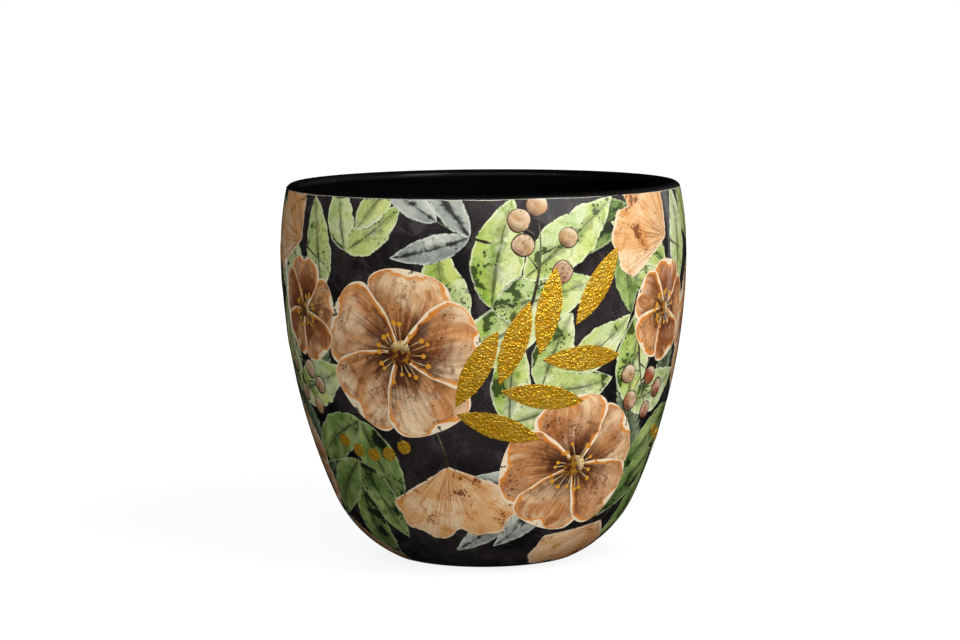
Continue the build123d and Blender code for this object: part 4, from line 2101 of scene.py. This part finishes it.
@dataclass(frozen=True)
class Lamp:
    """A rectangular soft lamp, which lacquer mirrors if it gleams."""

    name: str
    place: Triple
    size: Flat
    power: float
    aim: Triple = (0.0, 0.0, 0.13)
    gleams: bool = True

    def hang(self) -> None:
        """Hangs the lamp in the scene."""
        data = bpy.data.lights.new(self.name, "AREA")
        data.shape = "RECTANGLE"
        data.size, data.size_y = self.size
        data.energy = self.power
        lamp = add_object(self.name, data)
        lamp.location = self.place
        lamp.rotation_euler = (Vector(self.aim) - Vector(self.place)).to_track_quat("-Z", "Y").to_euler()
        lamp.visible_glossy = self.gleams


@dataclass
class Studio:
    """Pale floor, soft lamps, a dim tent that only reflections see, and the camera."""

    camera_distance: float = 1.4
    camera_elevation: float = math.radians(6.683)
    camera_roll: float = math.radians(0.416)
    camera_aim: Triple = (-2.0 * MM, 0.0, 115.9 * MM)
    camera_lens: float = 105.9
    sensor_width: float = 36.0
    camera_sight: float = 200.0
    floor_size: float = 60.0
    floor_paper: Colour = (0.3, 0.3, 0.3, 1.0)
    floor_white: float = 1.76
    floor_far_white: float = 0.3
    floor_near: float = 0.2
    floor_far: float = 1.4
    tent_dark: Colour = paint(16, 16, 16)
    tent_light: Colour = paint(186, 184, 182)
    tent_front: Flat = (0.2, -2.4)
    tent_front_rise: Flat = (0.0, 1.2)
    tent_right: Flat = (0.5, 2.2)
    tent_right_rise: Flat = (0.02, 0.5)
    tent_segments: int = 64
    tent_profile: tuple[Flat, ...] = (
        (0.034, 0.0004),
        (0.06, 0.0006),
        (0.3, 0.002),
        (1.2, 0.02),
        (2.2, 0.3),
        (2.6, 1.0),
        (2.2, 2.0),
        (1.2, 2.6),
        (0.0, 2.75),
    )
    room_light: float = 0.2
    lamps: tuple[Lamp, ...] = (
        Lamp("key_softbox", (0.82, -0.74, 1.33), (0.7, 0.7), 15.0),
        Lamp("front_bank", (-0.45, -1.3, 1.5), (2.4, 1.0), 15.0),
        Lamp("right_wall", (1.7, -1.3, 0.8), (2.0, 1.8), 12.0),
        Lamp("low_fill", (0.7, -1.4, 0.2), (1.2, 0.3), 7.0, gleams=False),
        Lamp("back_fill", (-0.5, 1.5, 1.0), (1.6, 1.2), 13.0, gleams=False),
        Lamp("right_strip", (0.5, 0.3, 0.19), (0.06, 0.4), 0.045, aim=(0.06, 0.0, 0.16)),
        Lamp("left_strip", (-0.36, 0.42, 0.06), (0.04, 0.08), 0.005, aim=(-0.06, 0.0, 0.12)),
    )

    def camera(self) -> None:
        """Sets the camera at the photograph's viewing angle."""
        data = bpy.data.cameras.new("camera")
        data.lens = self.camera_lens
        data.sensor_width = self.sensor_width
        data.clip_end = self.camera_sight
        rise, fall = math.sin(self.camera_elevation), math.cos(self.camera_elevation)
        back, right, up = Vector((0.0, -fall, rise)), Vector((1.0, 0.0, 0.0)), Vector((0.0, rise, fall))
        tilt, level = math.sin(self.camera_roll), math.cos(self.camera_roll)
        axes = (right * level - up * tilt, up * level + right * tilt, back)
        eye = Vector(self.camera_aim) + back * self.camera_distance
        camera = add_object("camera", data)
        camera.matrix_world = Matrix.Translation(eye) @ Matrix(axes).transposed().to_4x4()
        bpy.context.scene.camera = camera

    @staticmethod
    def _bare(owner: ID) -> NodeSheet:
        """Sheet of a material or world, cleared of all nodes.

        Args:
            owner: the material or world.

        Returns:
            The empty sheet.
        """
        owner.use_nodes = True
        owner.node_tree.nodes.clear()
        return NodeSheet(owner.node_tree)

    @staticmethod
    def _seen(sheet: NodeSheet) -> NodeSocket:
        """1 where a surface is seen directly, in a reflection or through glass.

        Args:
            sheet: sheet of the surface.

        Returns:
            The mask.
        """
        path = sheet.node("LightPath").outputs
        seen = sheet.math("MAXIMUM", path["Is Camera Ray"], path["Is Glossy Ray"])
        return sheet.math("MAXIMUM", seen, path["Is Transmission Ray"])

    @staticmethod
    def _blend(sheet: NodeSheet, output: str, share: NodeSocket, unseen: Node, seen: Node) -> None:
        """Sends a mix of two shaders to the output of a sheet."""
        made = sheet.feed(sheet.node("MixShader"), share, unseen.outputs[0], seen.outputs[0])
        sheet.feed(sheet.node(output), Surface=made.outputs[0])

    def floor(self) -> None:
        """Lays the white floor, which keeps the pot's soft shadow."""
        half = self.floor_size / 2
        mesh = bpy.data.meshes.new("studio_floor")
        sheet_corners = [(-half, -half, 0.0), (half, -half, 0.0), (half, half, 0.0), (-half, half, 0.0)]
        mesh.from_pydata(sheet_corners, [], [(0, 1, 2, 3)])
        material = bpy.data.materials.new("white_floor")
        mesh.materials.append(material)
        sheet = self._bare(material)
        paper = sheet.feed(sheet.node("BsdfDiffuse"), Color=self.floor_paper)
        away = sheet.feed(sheet.node("VectorMath", operation="LENGTH"), sheet.place()).outputs["Value"]
        far = sheet.step(away, self.floor_near, self.floor_far)
        strength = sheet.math("MULTIPLY_ADD", far, self.floor_far_white, self.floor_white)
        white = sheet.feed(sheet.node("Emission"), Strength=strength)
        self._blend(sheet, "OutputMaterial", sheet.times(self._seen(sheet), 0.5), paper, white)
        add_object("studio_floor", mesh)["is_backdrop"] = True

    def tent(self) -> None:
        """Sets a dim tent round the pot, which only reflections see, as a photographer does for lacquer."""
        mesh = turn_profile("studio_tent", self.tent_profile, False, self.tent_segments)
        material = bpy.data.materials.new("dim_cloth")
        mesh.materials.append(material)
        sheet = self._bare(material)
        x, y, z = sheet.parts(sheet.place())
        front = sheet.times(sheet.step(y, *self.tent_front), sheet.step(z, *self.tent_front_rise))
        right = sheet.times(sheet.step(x, *self.tent_right), sheet.step(z, *self.tent_right_rise))
        colour = sheet.mix(sheet.math("MAXIMUM", front, right), self.tent_dark, self.tent_light)
        cloth = sheet.feed(sheet.node("Emission"), Color=colour)
        sheet.feed(sheet.node("OutputMaterial"), Surface=cloth.outputs[0])
        tent = add_object("studio_tent", mesh)
        for ray in ("camera", "diffuse", "shadow", "transmission"):
            setattr(tent, f"visible_{ray}", False)
        tent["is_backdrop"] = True

    def world(self) -> None:
        """Lights the room softly, with a white background wherever it is seen."""
        world = bpy.data.worlds.new("studio")
        bpy.context.scene.world = world
        sheet = self._bare(world)
        soft = sheet.feed(sheet.node("Background"), Color=WHITE, Strength=self.room_light)
        white = sheet.feed(sheet.node("Background"), Color=WHITE)
        self._blend(sheet, "OutputWorld", self._seen(sheet), soft, white)

    def build(self) -> None:
        """Sets up the whole studio."""
        bpy.context.scene.view_settings.view_transform = "Standard"
        self.camera()
        self.floor()
        self.tent()
        for lamp in self.lamps:
            lamp.hang()
        self.world()


def corners(box: Sequence[Sequence[float]]) -> list[list[float]]:
    """A box's two corners as plain lists."""
    return [[float(value) for value in corner] for corner in box]


def main() -> None:
    """Loads the frame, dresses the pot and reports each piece."""
    logging.basicConfig(level=logging.INFO, format="%(message)s")
    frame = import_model()
    cad_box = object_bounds()
    outline = PotOutline.from_frame()
    effects = Effects()
    pieces = PotShell(outline, effects).build(frame["nodes"]["ceramic_body"])
    pieces += Print(outline, effects).build()
    pieces += GoldFoil(outline, effects).build()
    pieces.append(FeltPads(effects).build())
    for piece in pieces:
        LOG.info("%s: %d faces", piece.name, len(piece.data.polygons))
    Studio().build()
    {"cad": corners(cad_box), "visual": corners(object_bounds())}


if __name__ == "__main__":
    main()
